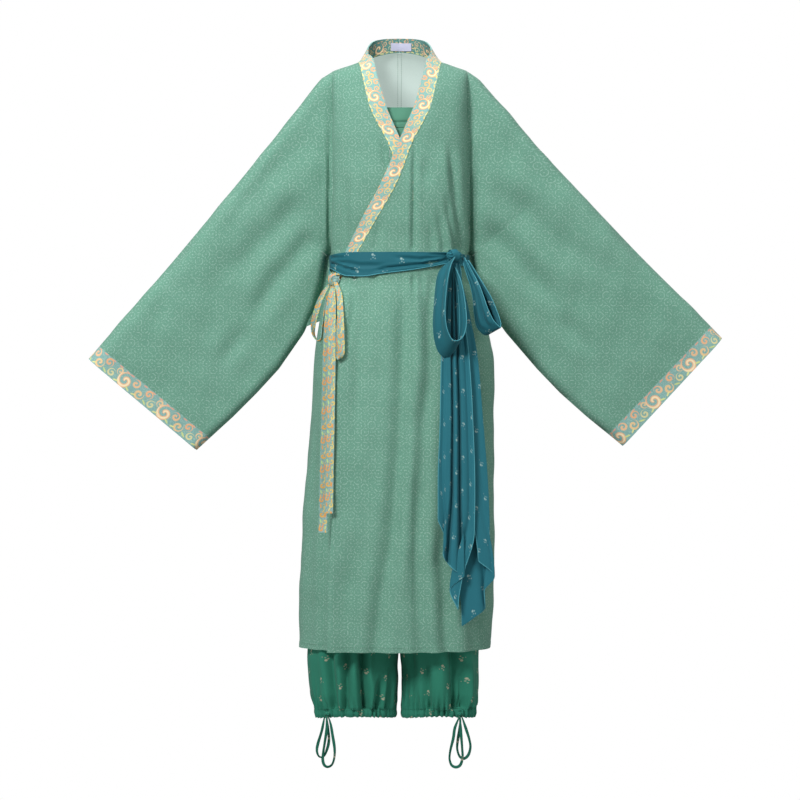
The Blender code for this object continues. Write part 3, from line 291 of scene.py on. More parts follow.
def weaveMaterial(look):
    material = bpy.data.materials.new(look["name"])
    material.use_nodes = True
    tree = material.node_tree
    shader = tree.nodes["Principled BSDF"]
    uv = add(tree, "UVMap", uv_map="cloth")
    # slow change of shade over a hand's breadth, and the speckle of the yarn
    slow = add(tree, "TexNoise", {"Vector": uv, "Scale": 9.0, "Detail": 3.0})
    yarn = add(tree, "TexNoise", {"Vector": uv, "Scale": look["yarn"], "Detail": 2.0, "Roughness": 0.7})
    colour = add(tree, "Mix", {0: slow.outputs["Fac"], 6: linear(look["dark"]), 7: linear(look["light"])},
                 data_type="RGBA").outputs[2]
    draw, *given = look["drawn"]
    for mask, tint in draw(tree, uv, *given):
        strength = add(tree, "Math", {0: mask, 1: look["print"]}, operation="MULTIPLY")
        colour = add(tree, "Mix", {0: strength, 6: colour, 7: linear(tint)}, data_type="RGBA").outputs[2]
    speck = add(tree, "ValToRGB", {0: yarn.outputs["Fac"]}, stops=((0.38, 1.0 - look["speck"]), (0.62, 1.0)))
    speckled = add(tree, "Mix", {0: 1.0, 6: colour, 7: speck}, data_type="RGBA", blend_type="MULTIPLY")
    colour = speckled.outputs[2]
    tree.links.new(colour, shader.inputs["Base Color"])
    # warp and weft, drawn coarser than real so that they show
    warp, weft = (add(tree, "TexWave", {"Vector": uv, "Scale": 0.314 / look["thread"], "Distortion": 0.6},
                      bands_direction=direction).outputs["Fac"] for direction in ("X", "Y"))
    woven = add(tree, "Math", {0: warp, 1: weft}, operation="MULTIPLY")
    rough = add(tree, "Math", {0: yarn.outputs["Fac"], 1: 0.8, 2: woven}, operation="MULTIPLY_ADD")
    bump = add(tree, "Bump", {"Strength": look["relief"], "Distance": 0.0006, "Height": rough})
    tree.links.new(bump.outputs[0], shader.inputs["Normal"])
    shader.inputs["Roughness"].default_value = look["rough"]
    shader.inputs["Sheen Weight"].default_value = look["sheen"]
    shader.inputs["Sheen Roughness"].default_value = 0.5
    shader.inputs["Specular IOR Level"].default_value = look["specular"]
    if look["through"]:   # painted light: the cloth glows with its own colour, standing in for light from behind coming through thin cloth
        tree.links.new(colour, shader.inputs["Emission Color"])
        shader.inputs["Emission Strength"].default_value = look["through"]
    return material


plain = {"yarn": 1200.0, "speck": 0.08, "thread": 0.0009, "relief": 0.1, "rough": 0.7, "sheen": 0.05,
         "specular": 0.15, "print": 1.0, "drawn": (lambda tree, uv: (),), "through": 0.0}
printedTrousers = (printSprigs, 0.062, 0.061, "#C9BFA6", 28.0, 1.15)
printedSash = (printSprigs, 0.058, 0.067, "#A9C9C4", 8.0, 1.25)
thinScrolls = dict(scrolls, curls=tuple((*curl[:5], 0.72 * curl[5], *curl[6:]) for curl in scrolls["curls"]))
looks = {   # what each cloth has otherwise than plain
    # soft printed polyester crepe: matt, with a low-contrast rosette print and a grainy face
    "robe": dict(name="printed crepe", dark="#659A85", light="#6FA38F", yarn=430.0, speck=0.13, thread=0.0012,
                 relief=0.2, rough=0.85, sheen=0.06, print=0.72, drawn=(printRosettes, "#A2C6B6")),
    # its unprinted wrong side: pale, the print only ghosts through; it also glows with its own colour,
    # painted light standing in for light from behind
    "robeReverse": dict(name="crepe wrong side", dark="#929E99", light="#9BA7A3", yarn=900.0, speck=0.06,
                        thread=0.0012, relief=0.16, rough=0.85, print=0.1, drawn=(printRosettes, "#7F9189"),
                        through=1.0),
    # printed satin band: brighter and smoother, with cloud scrolls
    "band": dict(name="printed satin band", dark="#86BAB4", light="#94C5BE", yarn=1100.0, thread=0.001,
                 relief=0.14, print=0.95, drawn=(printScrolls, scrolls)),
    # the same satin cut across its wide border, so the scrolls are larger and the ground greyer
    "cuff": dict(name="printed satin cuff", dark="#82AEA8", light="#8FB9B2", yarn=1100.0, thread=0.001,
                 relief=0.14, print=0.92, drawn=(printScrolls, cuffScrolls)),
    # the inside of the collar and cuffs: the same printed band painted darker, painted shade for the inner
    # face
    "bandReverse": dict(name="band inside the neck", dark="#4F7F79", light="#5B8B83", yarn=1100.0, speck=0.12,
                        thread=0.001, relief=0.14, rough=0.8, print=0.62,
                        drawn=(printScrolls, thinScrolls, 0.9)),
    "tie": dict(name="printed satin tie", dark="#85ACA7", light="#96BAB4", yarn=1100.0, thread=0.001,
                relief=0.14, rough=0.75, print=0.84, drawn=(printScrolls, tieScrolls)),
    # chiffon-like georgette: soft gloss on the folds, small pale sprigs
    "sash": dict(name="sprigged georgette", dark="#21636F", light="#286E7B", yarn=1300.0, thread=0.0008,
                 rough=0.58, sheen=0.06, print=0.78, specular=0.12, drawn=printedSash),
    # the same where it hangs free, painted a little lighter: painted light for the light that comes through
    # the thin cloth
    "sashFall": dict(name="sprigged georgette, hanging", dark="#276D7A", light="#2F7987", yarn=1300.0,
                     thread=0.0008, rough=0.58, sheen=0.06, print=0.78, specular=0.12, drawn=printedSash),
    # rolled hem of the same cloth, pulled tight by its overlock thread, so lighter
    "sashHem": dict(name="rolled hem", dark="#4A9CAA", light="#58A9B6", yarn=1300.0, speck=0.1, thread=0.0008,
                    relief=0.12, rough=0.6, sheen=0.1),
    # soft viscose: deep green, matt in the folds
    "trousers": dict(name="sprigged viscose", dark="#2E7C66", light="#378A73", speck=0.1, relief=0.12,
                     print=0.8, specular=0.1, drawn=printedTrousers),
    # the same cloth folded to a tape, painted darker: painted shade for its own folded layers
    "drawstring": dict(name="viscose tape", dark="#236653", light="#2B7561", speck=0.1, relief=0.12,
                       sheen=0.04, print=0.7, specular=0.1, drawn=printedTrousers),
    # fine cotton jersey: even and matt, its binding a shade deeper where it is double
    "camisole": dict(name="plain jersey", dark="#568F78", light="#609A82", sheen=0.06),
    "camisoleTrim": dict(name="jersey binding", dark="#528B74", light="#5C957D", sheen=0.06),
    # damask-woven satin: pale, with a little more gloss
    "label": dict(name="woven satin label", dark="#B4B6CF", light="#C0C2D9", yarn=2200.0, speck=0.05,
                  thread=0.0006, rough=0.5),
    # spun polyester: matt, and a little darker than its cloth
    "thread": dict(name="sewing thread", dark="#4E7B69", light="#5C8A77", yarn=3000.0, speck=0.2,
                   thread=0.0005, rough=0.6),
    "darkThread": dict(name="dark sewing thread", dark="#1E4C3F", light="#265848", yarn=3000.0, speck=0.2,
                       thread=0.0005, rough=0.6),
}
cloths = {finish: weaveMaterial({**plain, **look}) for finish, look in looks.items()}
print("finishes made:", len(cloths))


def mm(table):   # a table given in millimetres, in metres
    if isinstance(table, dict):
        return {name: mm(rows) for name, rows in table.items()}
    return tuple(mm(row) for row in table) if isinstance(table, tuple) else round(table / 1000, 7)


# the body's shape: the same levels that the frame was cut from
body = {
    "waist": -0.384, "hem": -1.183, "centreSeam": 0.027, "shoulderRadius": 0.15, "edgeRadius": 0.03,
    "slopeReach": 0.1, "neckHalf": 0.0855, "neckTop": 0.006, "neckMiddle": 0.001, "shoulderSlope": 0.356,
    "napeRise": 0.0312, "napeDepth": 0.078, "underSunk": 0.0034, "underFade": 0.012, "cloth": 0.0012,
    "double": 0.0024, "seam": 0.0003, "neckSeam": 0.0006, "underSeam": -0.02, "underEnd": 0.09,
    "square": 2.5, "sashLine": 0.409, "hemStitch": 1.1725,
}
levelNames = ("z", "right", "left", "front", "drop", "wrap", "back", "edge")
levels = mm((
    (20, 135.5, 136, 100, 0, 135.5, 80, 34), (-80, 135.2, 136.5, 103, 0, 135.2, 84, 36),
    (-160, 135, 136.8, 107, 0, 135, 86, 36), (-240, 135.2, 137, 110, 0, 135.2, 84, 34),
    (-310, 136.5, 137.2, 106, 0, 136.5, 80, 25), (-360, 138, 138, 100, 0, 138, 77, 10),
    (-384, 138.5, 138.5, 99, 0, 138.5, 76, 0), (-434, 138.5, 138.5, 99, 0, 138.5, 76, 0),
    (-470, 150, 158, 106, 3, 170, 84, 0), (-520, 163, 176, 113, 6, 205, 92, 0),
    (-600, 174, 190, 119, 10, 235, 99, 0), (-700, 179, 190.5, 122, 13, 255, 104, 0),
    (-820, 188.5, 190.5, 124, 16, 265, 108, 0), (-950, 197, 190.5, 125, 18, 270, 110, 0),
    (-1080, 203, 190, 125, 20, 270, 112, 0), (-1183, 203, 183, 124, 21, 270, 112, 0),
))
necklineNames = ("down", "seam", "free")   # on the wearer's left, where the band is sewn and its free edge
neckline = mm((
    (0, 86.5, 64), (12, 82.5, 56), (45, 75, 47), (93, 62.5, 29.5), (128, 46.5, 14.5), (163, 27.5, -0.5),
    (243, -3, -34.8), (330, -52, -81.5), (384, -83, -108.5), (428, -108, -129),
))
overlapEdge = mm((   # free edge of the outer front below the sash: down, x
    (428, -108.5), (450, -127), (520, -126.5), (640, -125.8), (854, -131), (950, -136.2), (1066, -143.4),
    (1183, -144.4),
))
arms = {   # sleeves in their own plane: along the top fold, and down across it
    "right": {
        "sign": -1.0, "sag": 0.0062, "bend": (0.16, -0.0265), "angle": 50.2, "underarm": (0.15, -0.386),
        "seam": 0.2817, "cuffSeam": 0.706, "end": 0.741,
        "lower": mm((
            (322.7, 270), (367.1, 289.5), (420.1, 304.6), (509.2, 312.4), (575.6, 309.2), (644.6, 302.9),
            (712.9, 293.5), (743.5, 289.5),
        )),
    },
    "left": {
        "sign": 1.0, "sag": 0.009, "bend": (0.162, -0.0265), "angle": 46.65, "underarm": (0.15, -0.386),
        "seam": 0.264, "cuffSeam": 0.689, "end": 0.724,
        "lower": mm((
            (300, 292), (351.9, 306.8), (414.4, 315.2), (511.3, 319.7), (579, 319.1), (652.5, 312.7),
            (713, 304.5), (745.1, 300.5),
        )),
    },
}
# depth of the sleeve and of the cuff, and the share of the fall in which the lower fold rounds off
sleeveFull, cuffFull, foldEdge = 0.04, 0.03, 0.0625
fine = {"column": 0.0055, "ring": 0.008, "sectionSteps": 360}


def through(rows, column, at):   # a table's column at a value of its first one, on a smooth curve
    table = np.array(rows, float)
    table = table[np.argsort(table[:, 0])]
    keys, values = table[:, 0], table[:, column]
    slopes = np.diff(values) / np.diff(keys)
    before, after = slopes[:-1], slopes[1:]
    rising = before * after > 0
    middle = np.where(rising, 2 * before * after / np.where(rising, before + after, 1.0), 0.0)
    tangents = np.concatenate([slopes[:1], middle, slopes[-1:]])
    at = np.clip(np.asarray(at, float), keys[0], keys[-1])
    i = np.clip(np.searchsorted(keys, at, side="right") - 1, 0, len(keys) - 2)
    span = keys[i + 1] - keys[i]
    t = (at - keys[i]) / span
    return ((2 * t**3 - 3 * t**2 + 1) * values[i] + (t**3 - 2 * t**2 + t) * span * tangents[i]
            + (3 * t**2 - 2 * t**3) * values[i + 1] + (t**3 - t**2) * span * tangents[i + 1])


def level(down, name):
    return through(levels, levelNames.index(name), -down)


def risen(down, radius):   # how far a rounded edge has swelled out, 0 at the edge and 1 past its radius
    left = np.maximum(0.0, 1.0 - np.asarray(down, float) / radius)
    return np.sqrt(1.0 - left * left)


def shoulderHeight(x):
    beside = np.abs(x - body["neckMiddle"])
    inside = body["neckTop"] + body["napeRise"] * (1.0 - (beside / body["neckHalf"]) ** 2)
    return np.where(beside < body["neckHalf"], inside,
                    body["neckTop"] - (beside - body["neckHalf"]) * body["shoulderSlope"])


def napeBehind(x):
    beside = np.minimum(np.abs(x - body["neckMiddle"]) / body["neckHalf"], 1.0)
    return body["napeDepth"] * np.sqrt(1.0 - beside * beside)


def section(down, face):   # one row of the body from the wearer's right to the left
    power, edge = 2 / body["square"], level(down, "edge")
    swell = level(down, "back" if face == "back" else "front") - edge
    swell -= level(down, "drop") if face == "under" else 0.0
    right, left = level(down, "wrap" if face == "outer" else "right"), level(down, "left")
    share = np.linspace(-1.0, 1.0, 2 * fine["sectionSteps"] + 1)
    turn = np.pi / 2 * share
    x = np.sign(share) * np.where(share < 0, right, left) * np.abs(np.sin(turn)) ** power
    bulge = np.maximum(np.cos(turn), 0.0) ** power
    up = risen(down, body["shoulderRadius"])
    depth = edge * risen(down, body["edgeRadius"]) + swell * bulge * up
    if face == "back":
        depth = depth + napeBehind(x) * (1.0 - up)
    z = shoulderHeight(x) * max(0.0, 1.0 - down / body["slopeReach"]) - down
    return np.stack([x, depth if face == "back" else -depth, z], axis=1)


def unit(rows):
    return rows / np.maximum(np.linalg.norm(rows, axis=1), 1e-12)[:, None]


def rowLengths(grid):
    return np.array([lengths(row) for row in grid])


def mapOf(u, v):
    return np.stack(np.broadcast_arrays(u, v), axis=2)


def alongRows(grid, zero=None):   # a map with each row's own length across and the height up it
    u = rowLengths(grid)
    return mapOf(u if zero is None else u - u[:, zero:zero + 1], grid[:, :, 2])


def movedOut(points, distance):   # a level row moved along its own normals, away from the body
    along = unit(np.gradient(points[:, :2], axis=0))
    normal = np.stack([along[:, 1], -along[:, 0]], axis=1)
    facing = -1.0 if points[:, 1].mean() < 0 else 1.0
    normal *= np.sign(normal[:, 1].sum() * facing) or 1.0
    out = points.copy()
    out[:, :2] += normal * np.broadcast_to(distance, len(points))[:, None]
    return out


def lengths(points):
    return np.concatenate([[0], np.cumsum(np.linalg.norm(np.diff(points, axis=0), axis=1))])


def stretchOf(points, first, last, shares):   # the stretch of a row between two x values, and its u
    along = lengths(points)
    ends = np.interp([first, last], points[:, 0], along)
    at = ends[0] + (ends[1] - ends[0]) * shares
    place = np.stack([np.interp(at, along, points[:, k]) for k in range(3)], axis=1)
    return place, at - np.interp(0.0, points[:, 0], along)


def atShare(line, share):
    along = lengths(line)
    return np.stack([np.interp(share * along[-1], along, line[:, k]) for k in range(line.shape[1])], axis=-1)


def sharesOf(length, step, tight=(0.0012, 0.003, 0.0055)):   # even columns with closer ones at both seams
    edge = np.array((0.0,) + tight) / length
    count = max(2, int(round(length / step)))
    inner = np.linspace(edge[-1], 1 - edge[-1], count + 1)[1:-1]
    return np.concatenate([edge, inner, 1 - edge[::-1]])


def frontRow(down, first, last, shares, face):
    points = section(down, face)
    if face == "under":
        inside = (points[:, 0] + level(down, "right")) / body["underFade"]
        points = movedOut(points, -body["underSunk"] * np.clip(inside, 0.0, 1.0) * min(1.0, down / 0.05))
    return stretchOf(points, first, last, shares)


def neckX(down, name, side):
    x = float(through(neckline, necklineNames.index(name), down))
    return x if side == "left" else 2 * body["neckMiddle"] - x


def smooth(low, high, at):
    t = np.clip((at - low) / (high - low), 0.0, 1.0)
    return t * t * (3 - 2 * t)


foldStrength = 1.45   # on every fold of the tables below


def foldDepth(folds, x, z):   # how far a point is pressed in by the folds that pass near it
    total = np.zeros_like(x)
    for line, width, depth, fadeStart, fadeEnd in folds:
        line = np.array(line, float)
        along = lengths(line)
        best, where = np.full_like(x, 1e9), np.zeros_like(x)
        for i in range(len(line) - 1):
            step = line[i + 1] - line[i]
            t = np.clip(((x - line[i, 0]) * step[0] + (z - line[i, 1]) * step[1]) / step.dot(step), 0.0, 1.0)
            away = np.hypot(x - line[i, 0] - t * step[0], z - line[i, 1] - t * step[1])
            nearer = away < best
            best = np.where(nearer, away, best)
            where = np.where(nearer, along[i] + t * (along[i + 1] - along[i]), where)
        fade = smooth(0.0, max(fadeStart, 1e-4), where) * smooth(0.0, max(fadeEnd, 1e-4), along[-1] - where)
        trough = np.exp(-(best / width) ** 2) - 0.32 * np.exp(-((best - 2.1 * width) / width) ** 2)
        total += foldStrength * depth * fade * trough
    return total


# Each fold: its line as x and z, half width, depth, and the lengths over which its ends fade, all in mm.
frontFolds = mm((
    (((99, -150), (110, -250), (122, -384)), 7.5, 6, 90, 0),
    (((92, -255), (101, -320), (113, -384)), 6, 4.8, 50, 0),
    (((78, -290), (85, -340), (91, -384)), 6.8, 3.2, 50, 0),
    (((118, -300), (126, -345), (130, -384)), 5, 4.2, 40, 0),
    (((60, -320), (66, -384)), 8, 2.2, 40, 0),
    (((-104, -215), (-110, -300), (-108, -384)), 8, 4, 70, 0),
    (((-122, -270), (-125, -384)), 6, 3, 60, 0),
    (((-36, -158), (-27.5, -205), (-22, -240)), 6.2, 4.2, 30, 30),
    (((30, -160), (29, -260), (27.5, -384)), 5, 3.4, 60, 0),
    (((-40, -310), (-47, -384)), 8, 1.8, 40, 0),
    (((52, -190), (60, -260)), 12, 1.8, 30, 30),
    (((27.5, -432), (26.2, -520)), 4.5, 3.6, 0, 50),
    (((10, -432), (7, -641), (2, -763), (-6, -840), (-14, -962), (-35, -1067),
      (-50, -1190)), 15, 6.8, 100, 0),
    (((-75, -432), (-81, -641), (-96.5, -820)), 13.5, 4.8, 50, 200),
    (((-52, -432), (-50, -520)), 7, 2.6, 0, 50),
    (((-92, -424), (-94, -500), (-104, -590)), 7, 3.4, 0, 80),
    (((-108, -426), (-110, -500)), 5, 2.4, 0, 40),
    (((62, -426), (61, -641), (49, -717), (41, -880), (36, -997), (47, -1190)), 14, 6.2, 60, 0),
    (((43, -428), (41, -520)), 6, 2.4, 0, 50),
    (((85, -900), (83, -997), (97, -1190)), 15, 7.2, 120, 0),
    (((-90, -930), (-101, -1060), (-104, -1190)), 17, 3.8, 120, 0),
    (((150, -560), (158, -800), (150, -1190)), 16, 5, 100, 0),
    (((-168, -520), (-172, -800), (-180, -1190)), 12, 3.4, 100, 0),
    (((-140, -600), (-144, -800), (-150, -950), (-156, -1190)), 9, 4.6, 120, 0),
))
backFolds = mm((
    (((4, -424), (10, -700), (20, -1190)), 15, 6.2, 40, 0),
    (((60, -424), (68, -720), (62, -1190)), 15, 5.8, 50, 0),
    (((-58, -424), (-66, -640), (-76, -900)), 14, 5.4, 50, 200),
    (((-100, -424), (-118, -740), (-122, -1190)), 16, 6.4, 60, 0),
    (((108, -424), (126, -800), (118, -1190)), 16, 6, 60, 0),
    (((-20, -720), (-34, -950), (-30, -1190)), 17, 4.6, 150, 0),
    (((30, -424), (31, -520)), 6, 3.2, 0, 50),
    (((-34, -424), (-36, -530)), 6, 3.2, 0, 60),
    (((-80, -424), (-84, -520)), 6, 3, 0, 50),
    (((84, -424), (88, -540)), 6, 3, 0, 60),
    (((94, -180), (104, -280), (112, -384)), 8, 5.4, 80, 0),
    (((-96, -190), (-108, -290), (-112, -384)), 8, 5, 80, 0),
    (((60, -290), (64, -384)), 7, 3.4, 60, 0),
    (((-56, -300), (-60, -384)), 7, 3, 60, 0),
    (((24, -330), (26, -384)), 6, 2.6, 40, 0),
    (((-20, -330), (-22, -384)), 6, 2.4, 40, 0),
    (((-50, -40), (-80, -150)), 15, 2.8, 50, 50),
    (((54, -40), (78, -160)), 15, 2.6, 50, 50),
))
sleeveFolds = mm({   # x counts away from the body here, so that both sleeves share the sense of it
    "right": (
        (((140, -80), (140.5, -230), (142, -384)), 4.2, 5, 90, 60),
        (((165, -330), (250, -440), (330, -560)), 18, 5, 60, 120),
        (((170, -250), (290, -370), (410, -480)), 22, 4, 80, 150),
        (((175, -140), (270, -230), (380, -330)), 24, 3, 80, 150),
        (((400, -300), (470, -420), (500, -560)), 26, 4, 100, 100),
        (((300, -520), (370, -620)), 16, 3.6, 50, 50),
    ),
    "left": (
        (((141, -80), (141, -230), (142.5, -384)), 4.2, 5, 90, 60),
        (((165, -320), (260, -420), (350, -520)), 18, 5, 60, 120),
        (((170, -230), (300, -340), (440, -440)), 22, 3.6, 80, 150),
        (((180, -130), (290, -220), (400, -300)), 24, 3, 80, 150),
        (((430, -270), (490, -390), (520, -520)), 26, 4, 100, 100),
        (((320, -500), (400, -600)), 16, 3.4, 50, 50),
    ),
})
ripples = (   # gentle unevenness of hanging cloth: turns a metre in x and z, phase, height
    (11.0, 3.0, 0.4, 0.0006), (-7.0, 6.0, 1.9, 0.0007), (19.0, -5.0, 3.3, 0.0004), (4.0, 14.0, 5.1, 0.0004),
)
hemFold = {"depth": 0.011, "stand": 0.0006}


def rippled(x, y, z):
    side = np.where(y > 0, 2.3, 0.0)
    return sum(high * np.sin(2 * np.pi * (a * x + b * z) + phase + side) for a, b, phase, high in ripples)


def offSash(z):   # the sash holds the cloth flat
    return smooth(0.03, 0.075, np.abs(z + body["sashLine"]))


def pressRobe(points):
    x, y, z = points.T
    pressed = np.where(y < 0, foldDepth(frontFolds, x, z), foldDepth(backFolds, x, z))
    sides = smooth(0.0, 0.01, np.abs(y))   # nothing moves at the side seams
    hem = hemFold["stand"] * smooth(hemFold["depth"] + 0.0012, hemFold["depth"] - 0.0012, z - body["hem"])
    return (rippled(x, y, z) * offSash(z) - pressed) * sides + hem


def pressSleeve(side):
    def press(points):
        x, y, z = points.T
        away = x * arms[side]["sign"]
        pressed = foldDepth(sleeveFolds[side], away, z + np.where(y > 0, 0.03, 0.0))
        return (rippled(x, y, z) - pressed) * smooth(0.0, 0.012, np.abs(y))
    return press


def pressBody(side, ownSleeve=False):   # a panel and the sleeve cut in one with it, or the rest of the sleeve
    def press(points):
        away, down = points[:, 0] * arms[side]["sign"], -np.minimum(points[:, 2], 0.0)
        crease = level(np.minimum(down, -body["waist"]) if ownSleeve else down, side)
        onSleeve = smooth(-0.004, 0.014, away - crease) * (ownSleeve | (points[:, 2] > body["waist"]))
        return pressRobe(points) * (1 - onSleeve) + pressSleeve(side)(points) * onSleeve
    return press


across, ahead = np.array((1.0, 0.0, 0.0)), np.array((0.0, 1.0, 0.0))
everyPoint = slice(None)
flatSizes, sewnGrids = {}, {}


def clothObject(name, points, faces, uvs, finishes, kinds=None):
    mesh = bpy.data.meshes.new(name)
    mesh.from_pydata(points, [], faces)
    for finish in finishes:
        mesh.materials.append(cloths[finish])
    if kinds:
        mesh.polygons.foreach_set("material_index", kinds)
    mesh.uv_layers.new(name="cloth").data.foreach_set("uv", np.array(uvs, np.float32).ravel())
    mesh.update()
    mesh.shade_smooth()
    return newObject(name, mesh)


def sew(name, patches, wall, finishes, press=None):   # grids become one cloth with two sides and closed edges
    grids = [patch["grid"] for patch in patches]
    flat = np.concatenate([grid.reshape(-1, 3) for grid in grids])
    _, firsts, inverse = np.unique(np.round(flat, 6), axis=0, return_index=True, return_inverse=True)
    points, inverse = flat[firsts], inverse.reshape(-1)
    faces, corners, locks, indexes, start = [], [], [], [], 0
    for patch in patches:
        rows, columns = patch["grid"].shape[:2]
        index = inverse[start:start + rows * columns].reshape(rows, columns)
        start += rows * columns
        indexes.append(index)
        quad = [(slice(None, -1), slice(None, -1)), (slice(1, None), slice(None, -1)),
                (slice(1, None), slice(1, None)), (slice(None, -1), slice(1, None))]
        if patch.get("flip"):
            quad = quad[::-1]
        faces.append(np.stack([index[q].ravel() for q in quad], axis=1))
        corners.append(np.stack([patch["uv"][q].reshape(-1, 2) for q in quad], axis=1))
        line = {"top": index[0], "bottom": index[-1], "first": index[:, 0], "last": index[:, -1]}
        for edge, axis, stretch in patch.get("locks", ()):
            path = line[edge]
            if axis is None:   # lies across the edge, seen from the front
                axis = np.cross(np.gradient(points[path], axis=0), ahead)[stretch]
            locks.append((path[stretch], axis))
    faces, corners = np.concatenate(faces), np.concatenate(corners)

    def normalsOf(place):
        normals = np.zeros_like(place)
        turned = np.cross(place[faces[:, 2]] - place[faces[:, 0]], place[faces[:, 3]] - place[faces[:, 1]])
        for k in range(4):
            np.add.at(normals, faces[:, k], turned)
        for path, axis in locks:
            axis = np.broadcast_to(axis, (len(path), 3))
            square = np.maximum((axis * axis).sum(axis=1), 1e-12)
            normals[path] -= axis * ((normals[path] * axis).sum(axis=1) / square)[:, None]
        return unit(normals)

    if press:
        points = points + normalsOf(points) * press(points)[:, None]
    inner = points - normalsOf(points) * wall
    count = len(points)
    shell, uvs, kinds, edges = [], [], [], {}
    for face, corner in zip(faces.tolist(), corners.tolist()):
        pairs = [(i, c) for k, (i, c) in enumerate(zip(face, corner)) if i != face[k - 1]]
        if len({i for i, _ in pairs}) < 3:
            continue
        ids, places = [i for i, _ in pairs], [c for _, c in pairs]
        shell.append(ids)
        uvs += places
        kinds.append(0)
        for k in range(len(ids)):
            edges[(ids[k - 1], ids[k])] = (places[k - 1], places[k])
    for ids, places in zip(list(shell), np.split(np.array(uvs), np.cumsum([len(s) for s in shell])[:-1])):
        shell.append([i + count for i in reversed(ids)])
        uvs += places[::-1].tolist()
        kinds.append(1 if len(finishes) > 1 else 0)
    for (a, b), (first, last) in edges.items():
        if (b, a) not in edges:
            shell.append([b, a, a + count, b + count])
            uvs += [last, first, first, last]
            kinds.append(0)
    piece = clothObject(name, np.concatenate([points, inner]).tolist(), shell, uvs, finishes, kinds)
    piece.data.set_sharp_from_angle(angle=math.radians(60))
    width = sum(max(lengths(points[row])[-1] for row in index[::4]) for index in indexes)
    length = max(lengths(points[column])[-1] for index in indexes for column in index.T[::4])
    area = 0.0
    for face in faces:
        a, b, c, d = points[face]
        area += 0.5 * np.linalg.norm(np.cross(c - a, d - b))
    flatSizes[name] = (width, length, area)
    sewnGrids[name] = [points[index] for index in indexes]
    return piece


def declare(piece, nodes):
    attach(piece, "root")
    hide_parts(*nodes)


# how far down the robe's rows lie, closer at the shoulder and at the turned hem
torsoDowns = np.concatenate([0.06 * (np.arange(9) / 8) ** 2, np.linspace(0.06, -body["waist"], 51)[1:]])
skirtDowns = np.concatenate([np.linspace(-body["waist"], 1.166, 121)[1:],
                             (1.17, body["hemStitch"], 1.176, 1.18, -body["hem"])])
robeDowns = np.concatenate([torsoDowns, skirtDowns])
robeCloths = ("robe", "robeReverse")
stitchLines = {"thread": [], "darkThread": []}


def sleeveAxis(side):
    turn = math.radians(arms[side]["angle"])
    return np.array([math.cos(turn) * arms[side]["sign"], 0.0, -math.sin(turn)])


def topSag(side, along):   # the top fold hangs a little between the shoulder and the cuff
    return arms[side]["sag"] * smooth(0.0, 0.2, along) * (1.0 - 0.75 * smooth(0.45, arms[side]["end"], along))


def inSleeve(side, along, drop):
    turn = math.radians(arms[side]["angle"])
    x, z = arms[side]["bend"]
    return np.array([x + along * math.cos(turn) - drop * math.sin(turn),
                     z - along * math.sin(turn) - drop * math.cos(turn)])


def sleeveDepth(fall, full, face):
    swell = risen(fall, 0.12) * (1.0 - 0.55 * fall) * risen(1.0 - fall, foldEdge)
    return full * swell * (0.85 if face == "back" else 1.0)


def innerSleeve(side, face, creaseU):
    arm, forward = arms[side], 1.0 if face == "back" else -1.0
    shares = sharesOf(0.24, 0.008)
    top = np.array([(float(level(0.0, side)), float(shoulderHeight(level(0.0, side)))), arm["bend"],
                    inSleeve(side, 0.1, topSag(side, 0.1)), inSleeve(side, 0.18, topSag(side, 0.18)),
                    inSleeve(side, arm["seam"], topSag(side, arm["seam"]))])
    bottom = np.array([(float(level(-body["waist"], side)), body["waist"]), arm["underarm"]])
    heads, feet = atShare(top, shares), atShare(bottom, shares)
    grid, uv = [], []
    for down, u in zip(torsoDowns, creaseU):
        fall = down / torsoDowns[-1]
        crease = section(down, face)[0 if side == "right" else -1]
        base = top[0] + (bottom[0] - top[0]) * fall
        place = heads + (feet - heads) * fall
        x = place[:, 0] + (abs(crease[0]) - base[0]) * (1.0 - shares)
        z = place[:, 1] + (crease[2] - base[1]) * (1.0 - shares)
        depth = abs(crease[1]) * (1.0 - shares) + sleeveDepth(fall, sleeveFull, face) * shares
        depth = depth + 0.02 * np.sin(np.pi * shares) * fall * (1.0 - fall)
        row = np.stack([x * arm["sign"], depth * forward, z], axis=1)
        row[0] = crease
        grid.append(row)
        uv.append(np.stack([u + (x - abs(crease[0])) * arm["sign"], z], axis=1))
    grid = np.array(grid)
    for edge in (0, -1):
        grid[edge, :, 1] += forward * body["seam"] / 2
    return grid, np.array(uv)


